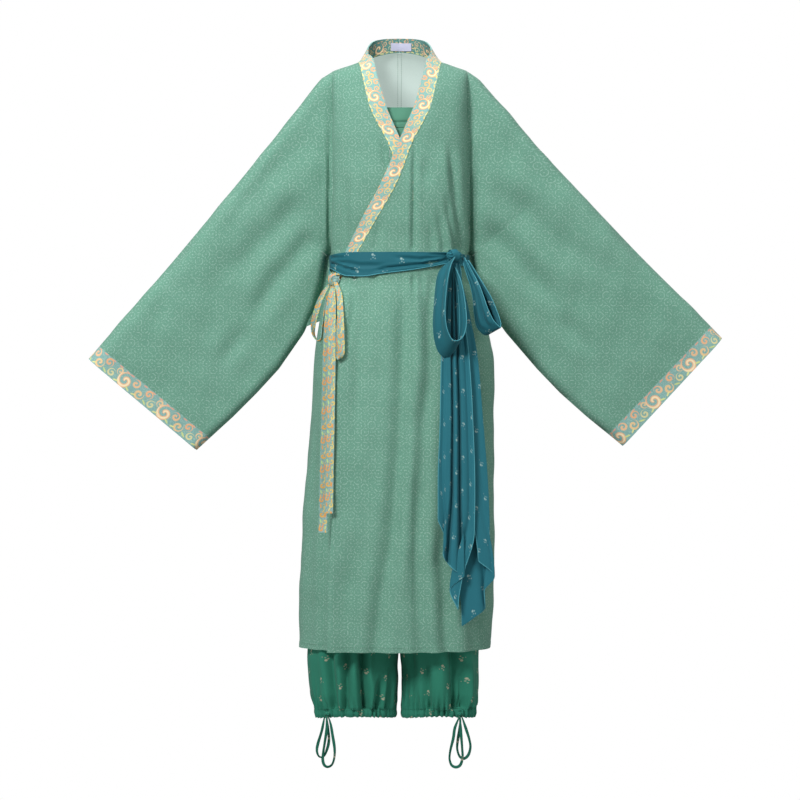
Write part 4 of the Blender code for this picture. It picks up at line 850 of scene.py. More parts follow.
def makePanel(name, node, face, side, downs, inner, outer):
    forward, whole = (1.0 if face == "back" else -1.0), outer is None
    edge = [float(level(d, side)) * arms[side]["sign"] for d in downs] if whole else outer
    first, last = (edge, inner) if side == "right" else (inner, edge)
    shares = sharesOf(max(abs(b - a) for a, b in zip(first, last)) * 1.1, fine["column"])
    rows = []
    for down, a, b in zip(downs, first, last):
        if face == "back":
            rows.append(stretchOf(section(down, "back"), a, b, shares))
        else:
            rows.append(frontRow(down, a, b, shares, face))
    grid = np.array([place for place, _ in rows])
    uv = np.array([np.stack([u, place[:, 2]], axis=1) for place, u in rows])
    edgeName, seamName = ("first", "last") if side == "right" else ("last", "first")
    locks = [(seamName, across if face == "back" else None, everyPoint)]
    if not whole:
        locks.append((edgeName, None, everyPoint))
    patches = []
    if whole:
        torso, column = len(torsoDowns), 0 if side == "right" else -1
        grid[0, :, 1] += forward * body["seam"] / 2
        grid[torso - 1:, column, 1] = forward * body["seam"] / 2
        locks.append((edgeName, ahead, slice(torso - 1, None)))
        beside = np.abs(grid[0, :, 0] - body["neckMiddle"]) >= body["neckHalf"] - 0.001
        locks.append(("top", ahead, beside if face == "back" else everyPoint))
        if face == "back":
            locks.append(("top", None, ~beside))
            grid[0, ~beside, 2] += 5 * body["seam"]   # tucked under the collar band
        sleeve, sleeveUv = innerSleeve(side, face, uv[:torso, column, 0])
        sleeve[:, 0] = grid[:torso, column]
        patches.append({"grid": sleeve, "uv": sleeveUv, "flip": (side == "right") != (face == "back"),
                        "locks": (("top", ahead, everyPoint), ("bottom", ahead, everyPoint),
                                  ("last", sleeveAxis(side), everyPoint))})
    patches.append({"grid": grid, "uv": uv, "flip": face == "back", "locks": locks})
    piece = sew(name, patches, body["cloth"], robeCloths, pressBody(side) if whole else pressRobe)
    declare(piece, (node,))
    line = grid[np.argmin(np.abs(np.array(downs) - body["hemStitch"]))] + (0.0, forward * 0.0006, 0.0)
    line[:, 1] += forward * pressRobe(line)
    stitchLines["thread"].append(line[1:-1])


def makeRobe():
    downs = robeDowns
    left = [max(body["centreSeam"], neckX(d, "seam", "left") + body["neckSeam"]) for d in downs]
    right = [min(body["underSeam"], neckX(d, "seam", "right") - body["neckSeam"]) for d in downs]
    makePanel("robe_front_left", "front_left", "outer", "left", downs, left, None)
    makePanel("robe_front_right", "front_right", "under", "right", downs, right, None)
    half = body["seam"] / 2
    makePanel("robe_back_left", "back_left", "back", "left", downs, [-half] * len(downs), None)
    makePanel("robe_back_right", "back_right", "back", "right", downs, [half] * len(downs), None)
    free = {d: neckX(d, "seam", "left") + body["neckSeam"] if d < overlapEdge[0][0]
            else float(through(overlapEdge, 1, d)) for d in downs}
    rows = [d for d in downs if d > 0.15 and free[d] < body["centreSeam"] - 0.002]
    above = max(d for d in downs if d < rows[0])   # the sliver where it starts beside the collar
    free[above] = min(free[above], body["centreSeam"] - 0.0008)
    rows = [above] + rows
    makePanel("robe_overlap_outer", "overlap_outer", "outer", "right", rows,
              [body["centreSeam"] - body["seam"]] * len(rows), [free[d] for d in rows])
    free = {d: min(body["underEnd"], neckX(d, "seam", "right") - body["neckSeam"]) for d in downs}
    rows = [d for d in downs if d > 0.18 and free[d] > body["underSeam"] + 0.002]
    makePanel("robe_overlap_inner", "overlap_inner", "under", "left", rows,
              [body["underSeam"] + body["seam"]] * len(rows), [free[d] for d in rows])


def sleeveRing(side, share, full, front):
    arm = arms[side]
    lower = np.array([arm["underarm"]] + [inSleeve(side, a, d) for a, d in arm["lower"]])
    along = arm["seam"] + (arm["end"] - arm["seam"]) * share
    head = inSleeve(side, along, topSag(side, along))
    foot = atShare(lower, share)
    ring = []
    for face, forward, order in (("front", -1.0, front), ("back", 1.0, front[-2::-1])):
        place = head + (foot - head) * order[:, None]
        ring.append(np.stack([place[:, 0] * arm["sign"], sleeveDepth(order, full, face) * forward,
                              place[:, 1]], axis=1))
    return np.concatenate(ring)


slack = {   # under the arm, where it lies against the side of the skirt
    "head": -0.356, "outer": 0.122, "inner": 0.106, "spread": 0.058, "end": 0.93, "past": 1.04,
    "wave": 0.008, "bends": 90, "half": 0.002,
}


def makeSleeve(side):
    arm = arms[side]
    reach = arm["end"] - arm["seam"]
    cuff, shift = (arm["cuffSeam"] - arm["seam"]) / reach, body["seam"] / reach
    front = torsoDowns / torsoDowns[-1]
    end = 1 - foldEdge * (1 - (np.arange(7) / 6) ** 2)
    front = np.concatenate([front[front < 0.93], end])

    def tube(first, last, shares):
        return np.array([sleeveRing(side, s, sleeveFull + (cuffFull - sleeveFull) * s, front)
                         for s in first + (last - first) * shares])

    ends = (("top", sleeveAxis(side), everyPoint), ("bottom", sleeveAxis(side), everyPoint))
    grid = tube(-9 * shift, cuff + 2 * shift, sharesOf((cuff - shift) * reach, fine["ring"]))
    join = float(level(0.0, side)) * 0.06 * arm["sign"]   # the body's swell makes u run ahead of x there
    uv = mapOf(grid[:, :, 0] + join, grid[:, :, 2])
    head, share = slack["head"], np.linspace(0.0, slack["end"], 36)
    under = [inSleeve(side, a, d) for a, d in arm["lower"][:3]]
    outer = atShare(np.array([(slack["outer"], head), arm["underarm"], *under]), share)
    step = np.array((slack["spread"], outer[-1, 1] - head))
    inner = np.array((slack["inner"], head)) + step * share[:, None]
    place = inner[:, None] + (outer - inner)[:, None] * np.linspace(0.0, slack["past"], 14)[None, :, None]
    x = place[:, :, 0]
    fill = np.stack([x * arm["sign"], slack["wave"] * np.sin(x * slack["bends"]), place[:, :, 1]], axis=2)
    patches = [{"grid": grid, "uv": uv, "flip": side == "left", "locks": ends}]
    patches += [{"grid": fill + (0.0, apart, 0.0), "uv": fill[:, :, (0, 2)], "flip": side == flipped}
                for apart, flipped in ((-slack["half"], "right"), (slack["half"], "left"))]
    piece = sew("sleeve_" + side + "_cloth", patches, body["cloth"], robeCloths, pressBody(side, True))
    declare(piece, ("sleeve_" + side,))
    grid = tube(cuff + shift, 1.0, sharesOf((1.0 - cuff) * reach, 0.004, (0.001, 0.0025)))
    downCuff = rowLengths(grid.swapaxes(0, 1)).T
    uv = mapOf(downCuff - downCuff[-1].mean() / 2, lengths(grid[0]))
    if side == "left":
        uv[:, :, 1] *= -1.0
    piece = sew("cuff_band_" + side, [{"grid": grid, "uv": uv, "flip": side == "left", "locks": ends}],
                body["double"], ("cuff", "bandReverse"), pressSleeve(side))
    declare(piece, ("cuff_" + side,))


collar = {
    "round": (   # angle round the neck from the nape, and where its free edge stands: x, y, z
        (0.0, 0.0, 0.08, 0.0685), (20.0, 0.028, 0.0755, 0.067), (42.0, 0.049, 0.061, 0.062),
        (62.0, 0.061, 0.04, 0.0515), (80.0, 0.0655, 0.013, 0.0375), (92.0, 0.0645, -0.012, 0.0235),
    ),
    "ends": {"left": 0.409, "right": 0.36}, "lift": 0.001, "sunk": 0.0036,
}


def makeCollar(side):
    sign = arms[side]["sign"]
    shares = sharesOf(0.03, 0.003, (0.0008, 0.0018))
    rows = []
    for angle in np.linspace(0.0, 92.0, 34):
        turn = math.radians(min(angle, 90.0))
        sewn = np.array([body["neckMiddle"] * sign + body["neckHalf"] * math.sin(turn),
                         body["napeDepth"] * math.cos(turn),
                         body["neckTop"] + body["napeRise"] * math.cos(turn) ** 2 + 5 * body["seam"]])
        free = np.array([float(through(collar["round"], k, angle)) for k in (1, 2, 3)])
        rows.append((sewn + (free - sewn) * shares[:, None]) * (sign, 1.0, 1.0))
    for down in [d for d in robeDowns if 0.004 < d < collar["ends"][side]] + [collar["ends"][side]]:
        lift = collar["lift"] - (collar["sunk"] * min(1.0, down / 0.11) if side == "right" else 0.0)
        row = movedOut(section(down, "front"), lift)
        x = neckX(down, "seam", side) + (neckX(down, "free", side) - neckX(down, "seam", side)) * shares
        rows.append(np.stack([x] + [np.interp(x, row[:, 0], row[:, k]) for k in (1, 2)], axis=1))
    grid = np.array(rows)
    grid[0, :, 0] = sign * body["seam"] / 2
    middle = lengths(grid[:, grid.shape[1] // 2])
    wide = rowLengths(grid)
    uv = mapOf(wide - wide.mean(axis=0)[-1] / 2, middle[:, None])
    uv[:, :, 0] *= -1.0
    if side == "right":
        uv[:, :, 1] += 0.02

    def press(points):
        x, y, z = points.T
        onBody = smooth(0.0, 0.03, -z) * (y < 0)
        return (rippled(x, y, z) - foldDepth(frontFolds, x, z)) * onBody * offSash(z)

    locks = (("top", across, everyPoint), ("first", None, everyPoint))
    piece = sew("collar_band_" + side, [{"grid": grid, "uv": uv, "flip": side == "left", "locks": locks}],
                body["double"], ("band", "bandReverse"), press)
    declare(piece, ("collar_" + side,))


makeRobe()
for side in arms:
    makeSleeve(side)
    makeCollar(side)
print("robe sewn")


legNames = ("z", "half", "front", "back", "out", "centre")
trousers = {
    "legs": mm((   # half width over both legs, front and back depth, how far a leg's middle has moved out
        (-412.6, 131.5, 91.6, 69.2, 0, 0), (-440, 132, 91.2, 70, 0, 0), (-480, 140, 88, 72, 0, -2),
        (-560, 152, 86, 78, 0, -5), (-640, 162, 86, 80, 0, -8), (-700, 164, 85, 81, 50, -10),
        (-750, 165, 83, 85, 82.5, -11), (-900, 168, 80, 80, 84.8, -12), (-1060, 173, 79, 78, 87.2, -13),
        (-1190, 174, 78, 76, 88.5, -13), (-1270, 170, 76, 73, 87.5, -11), (-1297, 164, 72, 69, 85.1, -9),
    )),
    "casing": mm(((-1302.6, 0), (-1310, 0.6), (-1317.5, -1.6))),   # z, and how far it stands out
    "belt": (0.372, 0.4122), "beltIn": -0.011, "beltWall": 0.002,
    "ribs": 118, "ribRows": 3, "ribHeight": 0.0005,
    "gathers": 40, "gatherTop": -1.2, "drawn": -1.303, "sink": 0.0085,
    "folds": mm((   # line as x and z, half width, depth, fading of both ends
        (((-146, -1130), (-139, -1215), (-130, -1303)), 7.5, 7.5, 30, 0),
        (((-107, -1130), (-106, -1303)), 6, 6, 30, 0),
        (((-77, -1120), (-74, -1230), (-69, -1303)), 7, 11, 30, 0),
        (((-33, -1225), (-47, -1303)), 6, 6, 40, 0),
        (((-16, -1215), (-27, -1303)), 5, 5, 40, 0),
        (((16, -1140), (24, -1240)), 8, 4, 40, 40),
        (((52, -1200), (60, -1303)), 7, 4.5, 40, 0),
        (((104, -1120), (113, -1240), (115, -1303)), 12, 12, 30, 0),
        (((128, -1200), (130, -1303)), 6, 6, 40, 0),
    )),
}


def legAt(z, name):
    return through(trousers["legs"], legNames.index(name), z)


def legRing(side, z, extra, closed, shares):
    half, front, back, out, centre = (legAt(z, name) for name in legNames[1:])
    front, back = front + extra, back + extra
    wide = half - out + extra
    reach = math.pi if closed else math.acos(max(-1.0, -out / wide))
    turn = reach * (1 - 2 * shares)
    depth = np.where(turn > 0, -front * np.sin(turn), -back * np.sin(turn))
    away = out + wide * np.cos(turn)
    x = arms[side]["sign"] * (body["seam"] + away) + centre * np.clip(away / half, 0.0, 1.0)
    # the hem sinks at the sides, where the cuff hangs flatter
    low = z - trousers["sink"] * np.cos(turn) ** 2 * smooth(-1.22, trousers["drawn"], z)
    return np.stack([x, depth, low], axis=1)


def pressLeg(side):
    draw = np.random.default_rng(7 if side == "left" else 11)
    count = trousers["gathers"]
    turns = (np.arange(count) + draw.uniform(-0.3, 0.3, count)) * 2 * math.pi / count
    wide, deep = draw.uniform(0.026, 0.044, count), draw.uniform(0.0024, 0.006, count)
    tall = draw.uniform(0.016, 0.05, count)

    def press(points):
        x, y, z = points.T
        middle = 0.5 * legAt(z, "centre") + arms[side]["sign"] * legAt(z, "out")
        angle = np.arctan2(y, x - middle)
        up = np.maximum(0.0, z - trousers["drawn"])
        shift = np.zeros_like(x)
        for at, width, depth, reach in zip(turns, wide, deep, tall):
            away = np.abs((angle - at + math.pi) % (2 * math.pi) - math.pi)
            lean = width * (1 + up / reach * 0.9)
            near = np.exp(-(up / reach) ** 1.3) * (1 - 0.3 * smooth(0.0, 0.01, trousers["drawn"] - z))
            beside = 0.4 * np.exp(-((away - 2 * lean) / lean) ** 2)   # a ridge on each side of the trough
            shift += depth * near * (np.exp(-(away / lean) ** 2) - beside)
        folded = foldDepth(trousers["folds"], np.where(y < 0, x, -x - 0.012), z)
        low = smooth(-1.32, -1.296, z)
        puff = 0.001 * np.exp(-((z + 1.262) / 0.03) ** 2)   # the cloth swells out above the hem
        total = rippled(x, y, z) - 1.25 * folded * (0.25 + 0.75 * low) - shift + puff
        return total * smooth(0.0, 0.006, np.abs(y))
    return press


def makeTrousers():
    shares = np.linspace(0.0, 1.0, 301)
    top, bottom = trousers["belt"]
    belt = np.array([waistRing(down, trousers["beltIn"], 260) for down in np.linspace(top, bottom, 16)])

    def ribbed(points):   # elastic gathered into the waistband
        around = np.arctan2(points[:, 1], points[:, 0])
        rows = np.abs(np.sin((points[:, 2] + top) / (bottom - top) * trousers["ribRows"] * np.pi))
        return trousers["ribHeight"] * np.sin(trousers["ribs"] * around) * rows - 0.0003

    piece = sew("trouser_belt", [{"grid": belt, "uv": alongRows(belt)}], trousers["beltWall"], ("trousers",),
                ribbed)
    declare(piece, ("trousers_waistband",))
    waist, gathers, drawn = trousers["legs"][0][0], trousers["gatherTop"], trousers["drawn"]
    below, above = trousers["casing"][-1][0], trousers["casing"][0][0]
    for side in arms:
        heights = np.concatenate([np.linspace(waist, gathers, 90), np.linspace(gathers, drawn, 38)[1:]])
        leg = np.array([legRing(side, z, 0.0, False, shares) for z in heights])
        crotch = int(np.argmax([legAt(z, "out") * 2 >= legAt(z, "half") for z in heights]))
        leg[crotch:, 0, 1], leg[crotch:, -1, 1] = -body["seam"] / 2, body["seam"] / 2
        parts = ((ahead, slice(crotch, None)), (across, slice(None, crotch)))
        locks = [(edge, axis, rows) for axis, rows in parts for edge in ("first", "last")]
        patch = {"grid": leg, "uv": alongRows(leg, 150), "flip": side == "right", "locks": locks}
        piece = sew("trouser_leg_" + side, [patch], body["cloth"], ("trousers",), pressLeg(side))
        declare(piece, ("leg_" + side,))
        casing = np.array([legRing(side, z, float(through(trousers["casing"], 1, z)), True, shares)
                           for z in np.linspace(above, below, 12)])
        casing[:, -1] = casing[:, 0]
        patch = {"grid": casing, "uv": alongRows(casing, 150), "flip": side == "right"}
        piece = sew("trouser_casing_" + side, [patch], body["cloth"], ("trousers",), pressLeg(side))
        declare(piece, ("leg_casing_" + side,))
        stitchLines["darkThread"].append(sewnGrids["trouser_leg_" + side][0][-2])


def waistRing(down, distance, count):   # the body's outline at one level, moved out, once round
    shares = np.linspace(0.0, 1.0, count + 1)
    front, _ = stretchOf(movedOut(section(down, "front"), distance), -1.0, 1.0, shares)
    back, _ = stretchOf(movedOut(section(down, "back"), distance), -1.0, 1.0, shares)
    return np.concatenate([front, back[::-1][1:-1], front[:1]])


camisole = {   # seen in the neck of the robe
    "rows": mm((   # z, half width, front and back depth
        (-94.6, 108, 80, 66), (-124, 112, 86, 68), (-124.5, 112, 86, 68), (-170, 118, 91, 70),
        (-240, 121, 94, 70), (-310, 123, 91, 68), (-366, 127, 88, 66),
    )),
    "grooves": (-0.1232, -0.1254, -0.1368), "grooveWidth": 0.0011, "grooveDepth": 0.0016,
    "fineTo": -0.142, "strapHalf": 0.006,
    "strap": ((0.085, -0.0568, -0.0943, 0.0), (0.088, -0.0545, -0.05, 0.0), (0.092, -0.038, -0.02, 0.2),
              (0.0945, -0.019, -0.006, 0.36), (0.095, 0.0, -0.0013, 0.36), (0.0945, 0.019, -0.0058, 0.36),
              (0.092, 0.036, -0.02, 0.2), (0.088, 0.048, -0.05, 0.0), (0.085, 0.047, -0.0943, 0.0)),
}


def camisoleRow(z, first, last, steps):
    half, front, back = (float(through(camisole["rows"], k, z)) for k in (1, 2, 3))
    turn = np.radians(np.linspace(first, last, steps + 1))
    x, y = np.cos(turn), np.sin(turn)
    depth = np.where(y > 0, back, front)
    return np.stack([half * np.sign(x) * np.abs(x) ** 0.8, depth * np.sign(y) * np.abs(y) ** 0.8,
                     np.full_like(x, z)], axis=1)


def pressCamisole(points):
    x, y, z = points.T
    grooves = sum(np.exp(-((z - at) / camisole["grooveWidth"]) ** 2) for at in camisole["grooves"])
    pressed = camisole["grooveDepth"] * grooves
    return (rippled(x, y, z) * 0.6 - pressed) * smooth(0.0, 0.004, np.abs(y))


def makeCamisole():
    (top, *_), (bandEnd, *_), (start, *_), *_, (end, *_) = camisole["rows"]
    band = np.array([camisoleRow(z, 0, 360, 240) for z in np.linspace(top, bandEnd, 22)])
    band[:, -1] = band[:, 0]
    piece = sew("camisole_top_band", [{"grid": band, "uv": alongRows(band)}], body["cloth"],
                ("camisoleTrim",), pressCamisole)
    declare(piece, ("camisole_band",))
    turn = camisole["fineTo"]
    heights = np.concatenate([np.linspace(start, turn, 24), np.linspace(turn, end, 30)[1:]])
    for name, first, sign in (("camisole_back", 0, 1.0), ("camisole_front", 180, -1.0)):
        grid = np.array([camisoleRow(z, first, first + 180, 110) for z in heights])
        grid[:, (0, -1), 1] = sign * body["seam"] / 2
        locks = (("first", ahead, everyPoint), ("last", ahead, everyPoint))
        piece = sew(name + "_cloth", [{"grid": grid, "uv": alongRows(grid), "locks": locks}], body["cloth"],
                    ("camisole",), pressCamisole)
        declare(piece, (name,))
    for side in ("left", "right"):
        route = catmull(np.array(camisole["strap"]), 0.006)
        wide = np.linspace(-camisole["strapHalf"], camisole["strapHalf"], 7)
        grid = np.array([np.stack([(x + wide) * arms[side]["sign"], np.full_like(wide, y), z - wide * tilt],
                                  axis=1) for x, y, z, tilt in route])
        uv = mapOf(wide, lengths(grid[:, 3])[:, None])
        piece = sew("camisole_strap_cloth_" + side, [{"grid": grid, "uv": uv, "flip": side == "right"}],
                    body["cloth"], ("camisoleTrim",))
        declare(piece, ("camisole_strap_" + side,))


knots = {   # node: centre, half sizes along, through and upwards, turn about Z, finish, slot
    "sash_knot": ((0.1096, -0.0898, -0.3925), (0.021, 0.01, 0.0105), 33.6, "sashFall", "sash_cloth"),
    "tie_knot": ((-0.1299, -0.0642, -0.4395), (0.015, 0.011, 0.0125), -54.0, "tie", "band_cloth"),
    "drawstring_knot_right": ((-0.1452, -0.0612, -1.312), (0.0065, 0.0042, 0.0042), -38.0, "trousers",
                              "trouser_cloth"),
    "drawstring_knot_left": ((0.1205, -0.064, -1.312), (0.0065, 0.0042, 0.0042), 29.0, "trousers",
                             "trouser_cloth"),
}
knotGap = 0.0004
leaving = {   # where each strip leaves its knot, in the knot's own frame
    "sash_loop_front": ("sash_knot", (-0.45, -0.55, -0.7)),
    "sash_loop_side": ("sash_knot", (0.95, -0.1, -0.25)),
    "sash_tail_front": ("sash_knot", (-0.1, -0.1, -1.0)),
    "sash_tail_side": ("sash_knot", (0.3, 0.05, -1.0)),
    "tie_loop_side": ("tie_knot", (-0.9, -0.1, -0.4)),
    "tie_loop_front": ("tie_knot", (0.75, -0.55, -0.45)),
    "tie_tail_long": ("tie_knot", (-0.4, -0.1, -1.0)),
    "tie_tail_short": ("tie_knot", (0.12, -0.3, -1.0)),
    "drawstring_short_right": ("drawstring_knot_right", (-0.6, -0.1, -0.8)),
    "drawstring_long_right": ("drawstring_knot_right", (0.2, -0.45, -0.85)),
    "drawstring_long_left": ("drawstring_knot_left", (-0.5, -0.45, -0.8)),
    "drawstring_short_left": ("drawstring_knot_left", (0.55, -0.1, -0.8)),
}
ribbons = mm({   # middle of the strip and half its width: x, y, z, half x, half y, half z
    "sash_loop_front": (
        (88, -130, -430, 11.5, -13, 3), (80, -143, -500, 12, -17, 6), (81, -148, -544, 12.5, -18, 10),
        (91, -150, -575, 11.5, -18, 14), (109, -149, -578, 8.5, -17, 15), (121.5, -145, -556, 6, -15, 9),
        (124.5, -140, -519, 5, -12, 4), (118.5, -128, -457, 3.4, -8, 2), (108.5, -112, -418, 2, -4, 0),
    ),
    "sash_loop_side": (
        (140, -100, -428, 5.5, -4, 1), (150, -111, -453, 7.2, -8, 2), (157, -117, -478, 9, -11, 3),
        (162, -120, -504, 12, -12, 5), (170, -121, -529, 15, -12, 7), (183, -119, -543, 13.6, -13, 8),
        (190.5, -115, -541, 10, -14, 5), (190, -110, -520, 9, -14, 0), (175, -104, -480, 8.8, -12, 0),
        (161, -98, -453, 7.8, -10, 0), (148, -93, -428, 6, -6, 0), (135, -90, -402, 3, -3, 0),
    ),
    "tie_loop_side": (
        (-150, -74, -462, 5.5, 2, 2), (-159, -80, -480, 6.2, 1, 2), (-167, -82, -505, 6.2, 1, 1.5),
        (-173, -83, -530, 5, 3, 1), (-173.5, -83, -550, 2.6, 5.8, 0), (-165, -82, -564, 1.6, 6.6, -1),
        (-155.5, -80, -560, 1.4, 6.8, 0), (-151.5, -78, -534.7, 1.4, 6.8, 0),
        (-148, -75, -498.6, 1.4, 6.4, 0), (-145, -70, -472.6, 1.4, 5, 0),
    ),
    "tie_loop_front": (
        (-120.5, -95, -468, 5.8, 0, 0), (-118.2, -108, -495, 6.4, 0, 0), (-116.5, -118, -533, 6.8, 0, 0),
        (-115.2, -123, -570, 6.8, 0, 1), (-115, -124, -588, 6.2, 0, 2), (-116.8, -122, -597.5, 4.6, 0, 2.6),
        (-121, -117, -596, 5, 0, 1), (-123.5, -115, -580, 6.2, 0, 0), (-124, -112, -555, 6.4, 0, 0),
        (-123, -104, -520, 6.4, 0, 0),
    ),
    "tie_tail_long": (
        (-140, -86, -490, 7.5, 0, 0), (-143, -100, -540, 8, 0, 0), (-145, -108, -610, 8.3, 0, 0),
        (-148, -116, -750, 8.5, 0, 0), (-151, -120, -880, 8.5, 0, 0), (-152.2, -122, -944.3, 8.5, 0, 0),
    ),
    "tie_tail_short": (
        (-134, -89, -468, 6, 0, 0), (-134.2, -99, -495, 7.8, 0, 0), (-134.5, -110, -540, 8, 0, 0),
        (-135, -119, -610, 8.3, 0, 0), (-137.2, -125, -750, 8.3, 0, 0), (-139, -128, -850, 8.3, 0, 0),
        (-139.8, -129, -905.7, 8.3, 0, 0),
    ),
})
tails = mm({   # height at the left and right edge, the edges' x, depth, and depth of the pleats
    "sash_tail_front": (
        (-435, -435, 98.5, 117.5, -103.5, 1.4), (-500, -500, 90, 126, -116, 3.2),
        (-600, -600, 83, 138, -124, 5), (-720, -720, 80.5, 145, -129, 5), (-850, -850, 76.5, 149, -131, 5),
        (-930, -950, 79, 148, -132, 5), (-985, -1075, 90, 138, -133, 4),
    ),
    "sash_tail_side": (
        (-435, -435, 113, 127, -97, 0.8), (-500, -500, 118, 138, -103, 1.8),
        (-600, -600, 123, 156, -111, 2.8), (-720, -720, 130, 166, -114, 3.5),
        (-850, -850, 135, 176, -116, 3.5), (-960, -960, 130, 181, -118, 3.5),
        (-1040, -1035, 122, 188, -119, 3.5), (-1127, -1095, 127.3, 170, -122, 3),
    ),
})
tailLook = {   # how the cloth runs across, its deep pleats, and the line of its hem
    "sash_tail_front": {
        "across": ((0.0, 0.0, 0.002), (0.5, 0.5, -0.001), (1.0, 1.0, 0.002)),
        "pleats": ((0.1, 0.06, 0.35), (0.38, 0.034, 1.1), (0.59, 0.044, 1.3), (0.86, 0.06, 0.4)),
        "hem": ((0.0, 0.0763, -0.9187), (0.15, 0.0921, -0.9603), (0.27, 0.0862, -0.9841),
                (0.5, 0.1099, -1.0178), (0.66, 0.1278, -1.0277), (0.85, 0.1, -1.0574),
                (1.0, 0.1159, -1.095)),
    },
    "sash_tail_side": {
        "across": ((0.0, 0.08, -0.006), (0.42, 1.0, -0.001), (0.5, 1.0, 0.002), (1.0, -0.15, 0.006)),
        "pleats": ((0.22, 0.06, 0.25), (0.72, 0.05, 0.8)),
        "hem": ((0.0, 0.156, -0.999), (0.26, 0.1878, -1.031), (0.5, 0.168, -1.0605),
                (0.7, 0.17, -1.092), (0.86, 0.148, -1.112), (1.0, 0.1242, -1.129)),
    },
}
tailCloth = {"start": 0.0072, "columns": 120, "depth": 1.6, "hemReach": 0.15}
stripLook = {   # pleats across, their depth, and how far both edges curl
    "sash_loop_front": (1.6, 0.0022, 0.002), "sash_loop_side": (2.2, 0.0034, 0.003),
    "tie_loop_side": (0.5, 0.0008, 0.0006), "tie_loop_front": (0.5, 0.0008, 0.0006),
    "tie_tail_long": (0.5, 0.0007, 0.0005), "tie_tail_short": (0.5, 0.0007, 0.0005),
}
sash = {
    "out": 0.0046, "back": (-0.388, -0.432),
    "edges": mm((   # where along the front, its upper and lower edge
        (-140, -388, -415), (-105, -385, -432), (-72, -385.5, -433.5), (-37, -385.8, -428.5),
        (25, -385.8, -421), (65, -386.2, -414), (100, -387, -408), (140, -388, -412),
    )),
    "folds": mm((
        (((-136, -400), (-80, -412), (-20, -413)), 3.4, 1.8, 20, 40),
        (((-60, -423.5), (-20, -417), (30, -411), (98, -402)), 2.4, 2.4, 30, 0),
        (((-20, -396), (40, -400), (96, -394.5)), 3, 2, 40, 0),
        (((30, -415.5), (62, -407), (98, -398)), 2.4, 2.2, 30, 0),
        (((50, -391), (100, -390)), 2, 1.6, 20, 0),
        (((-138, -393), (-100, -397)), 2.6, 1.8, 0, 20),
        (((-138, -405), (-110, -416), (-75, -426.5)), 2.6, 2.4, 0, 20),
    )),
}


def catmull(rows, step):   # rows of even spacing on a smooth curve through a table's rows
    keys = np.array([rows[0], *rows, rows[-1]])
    curve = []
    for before, start, end, after in zip(keys, keys[1:], keys[2:], keys[3:]):
        for t in np.linspace(0.0, 1.0, 24, endpoint=False):
            bend, twist = 2 * before - 5 * start + 4 * end - after, 3 * start - before - 3 * end + after
            curve.append(0.5 * (2 * start + (end - before) * t + bend * t**2 + twist * t**3))
    curve = np.array(curve + [keys[-1]])
    along = lengths(curve[:, :3])
    count = max(2, round(along[-1] / step))
    at = np.linspace(0.0, along[-1], count + 1)
    return np.stack([np.interp(at, along, curve[:, k]) for k in range(curve.shape[1])], axis=1)


def turnedFlat(degrees):   # turns rows of points about the upright
    c, s = math.cos(math.radians(degrees)), math.sin(math.radians(degrees))
    return np.array(((c, s, 0.0), (-s, c, 0.0), (0.0, 0.0, 1.0)))


def leaves(name):
    centre, half, turn = knots[leaving[name][0]][:3]
    direction = np.array(leaving[name][1]) / np.linalg.norm(leaving[name][1])
    face = direction / half
    face /= np.linalg.norm(face)
    return centre + (direction * half + face * knotGap) @ turnedFlat(turn), face @ turnedFlat(turn)


def makeKnot(name, wraps, tilt):   # a lump of cloth wound round itself, its folds running over it
    centre, half, turn, finish, slot = knots[name]
    lats, lons = np.linspace(-np.pi / 2, np.pi / 2, 41), np.linspace(0.0, 2 * np.pi, 81)
    lat, lon = np.meshgrid(lats, lons, indexing="ij")
    shape = np.stack([np.sin(lat), np.cos(lat) * np.cos(lon), np.cos(lat) * np.sin(lon)], axis=2)
    fold = np.abs(np.sin(wraps * lon / 2 + tilt * np.sin(lat) * 2.2 + 0.5 * np.sin(3 * lat))) ** 0.6
    size = 0.76 + 0.24 * fold * np.cos(lat) ** 0.5
    spots = shape * size[:, :, None] * np.array(half) @ turnedFlat(turn) + centre
    uv = mapOf(lon * half[1], lat * half[0] * 1.3)
    points = [spots[0, 0], *spots[1:-1, :-1].reshape(-1, 3), spots[-1, 0]]
    index = np.zeros(lat.shape, int)   # one point at each end, and rings between them
    index[1:-1, :-1] = 1 + np.arange(len(points) - 2).reshape(-1, len(lons) - 1)
    index[:, -1] = index[:, 0]
    index[-1] = len(points) - 1
    faces, uvs = [], []
    for r, c in np.ndindex(len(lats) - 1, len(lons) - 1):
        kept = {int(index[k]): k for k in ((r, c), (r, c + 1), (r + 1, c + 1), (r + 1, c))}
        faces.append(list(kept))
        uvs += [uv[k] for k in kept.values()]
    piece = clothObject(name + "_wound", [tuple(p) for p in points], faces, uvs, (finish,))
    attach(piece, "root")
    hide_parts(name)


def makeWrap(name, knot, tilt, lean, wide):   # one turn of cloth round a knot
    centre, half, turn, finish, slot = knots[knot]
    around, shares = np.linspace(0.0, 2 * np.pi, 61), np.linspace(-1.0, 1.0, 9)
    rows = []
    for share in shares:
        ring = np.stack([np.full_like(around, share * wide / 2 / half[0]) + 0.1 * np.sin(around + lean),
                         np.cos(around), np.sin(around)], axis=1)
        ring *= 1.1 - 0.07 * share ** 4 + 0.035 * np.sin(3 * around + 2.5 * share + lean)[:, None]
        rows.append(ring)
    c, s = math.cos(math.radians(tilt)), math.sin(math.radians(tilt))
    grid = np.array(rows) @ np.array(((c, 0.0, s), (0.0, 1.0, 0.0), (-s, 0.0, c))) * np.array(half)
    grid = grid @ turnedFlat(turn) + centre
    grid[:, -1] = grid[:, 0]
    uv = mapOf(shares[:, None] * wide / 2, around * half[1])
    piece = sew(name, [{"grid": grid, "uv": uv}], body["cloth"], (finish,))
    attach(piece, "root")


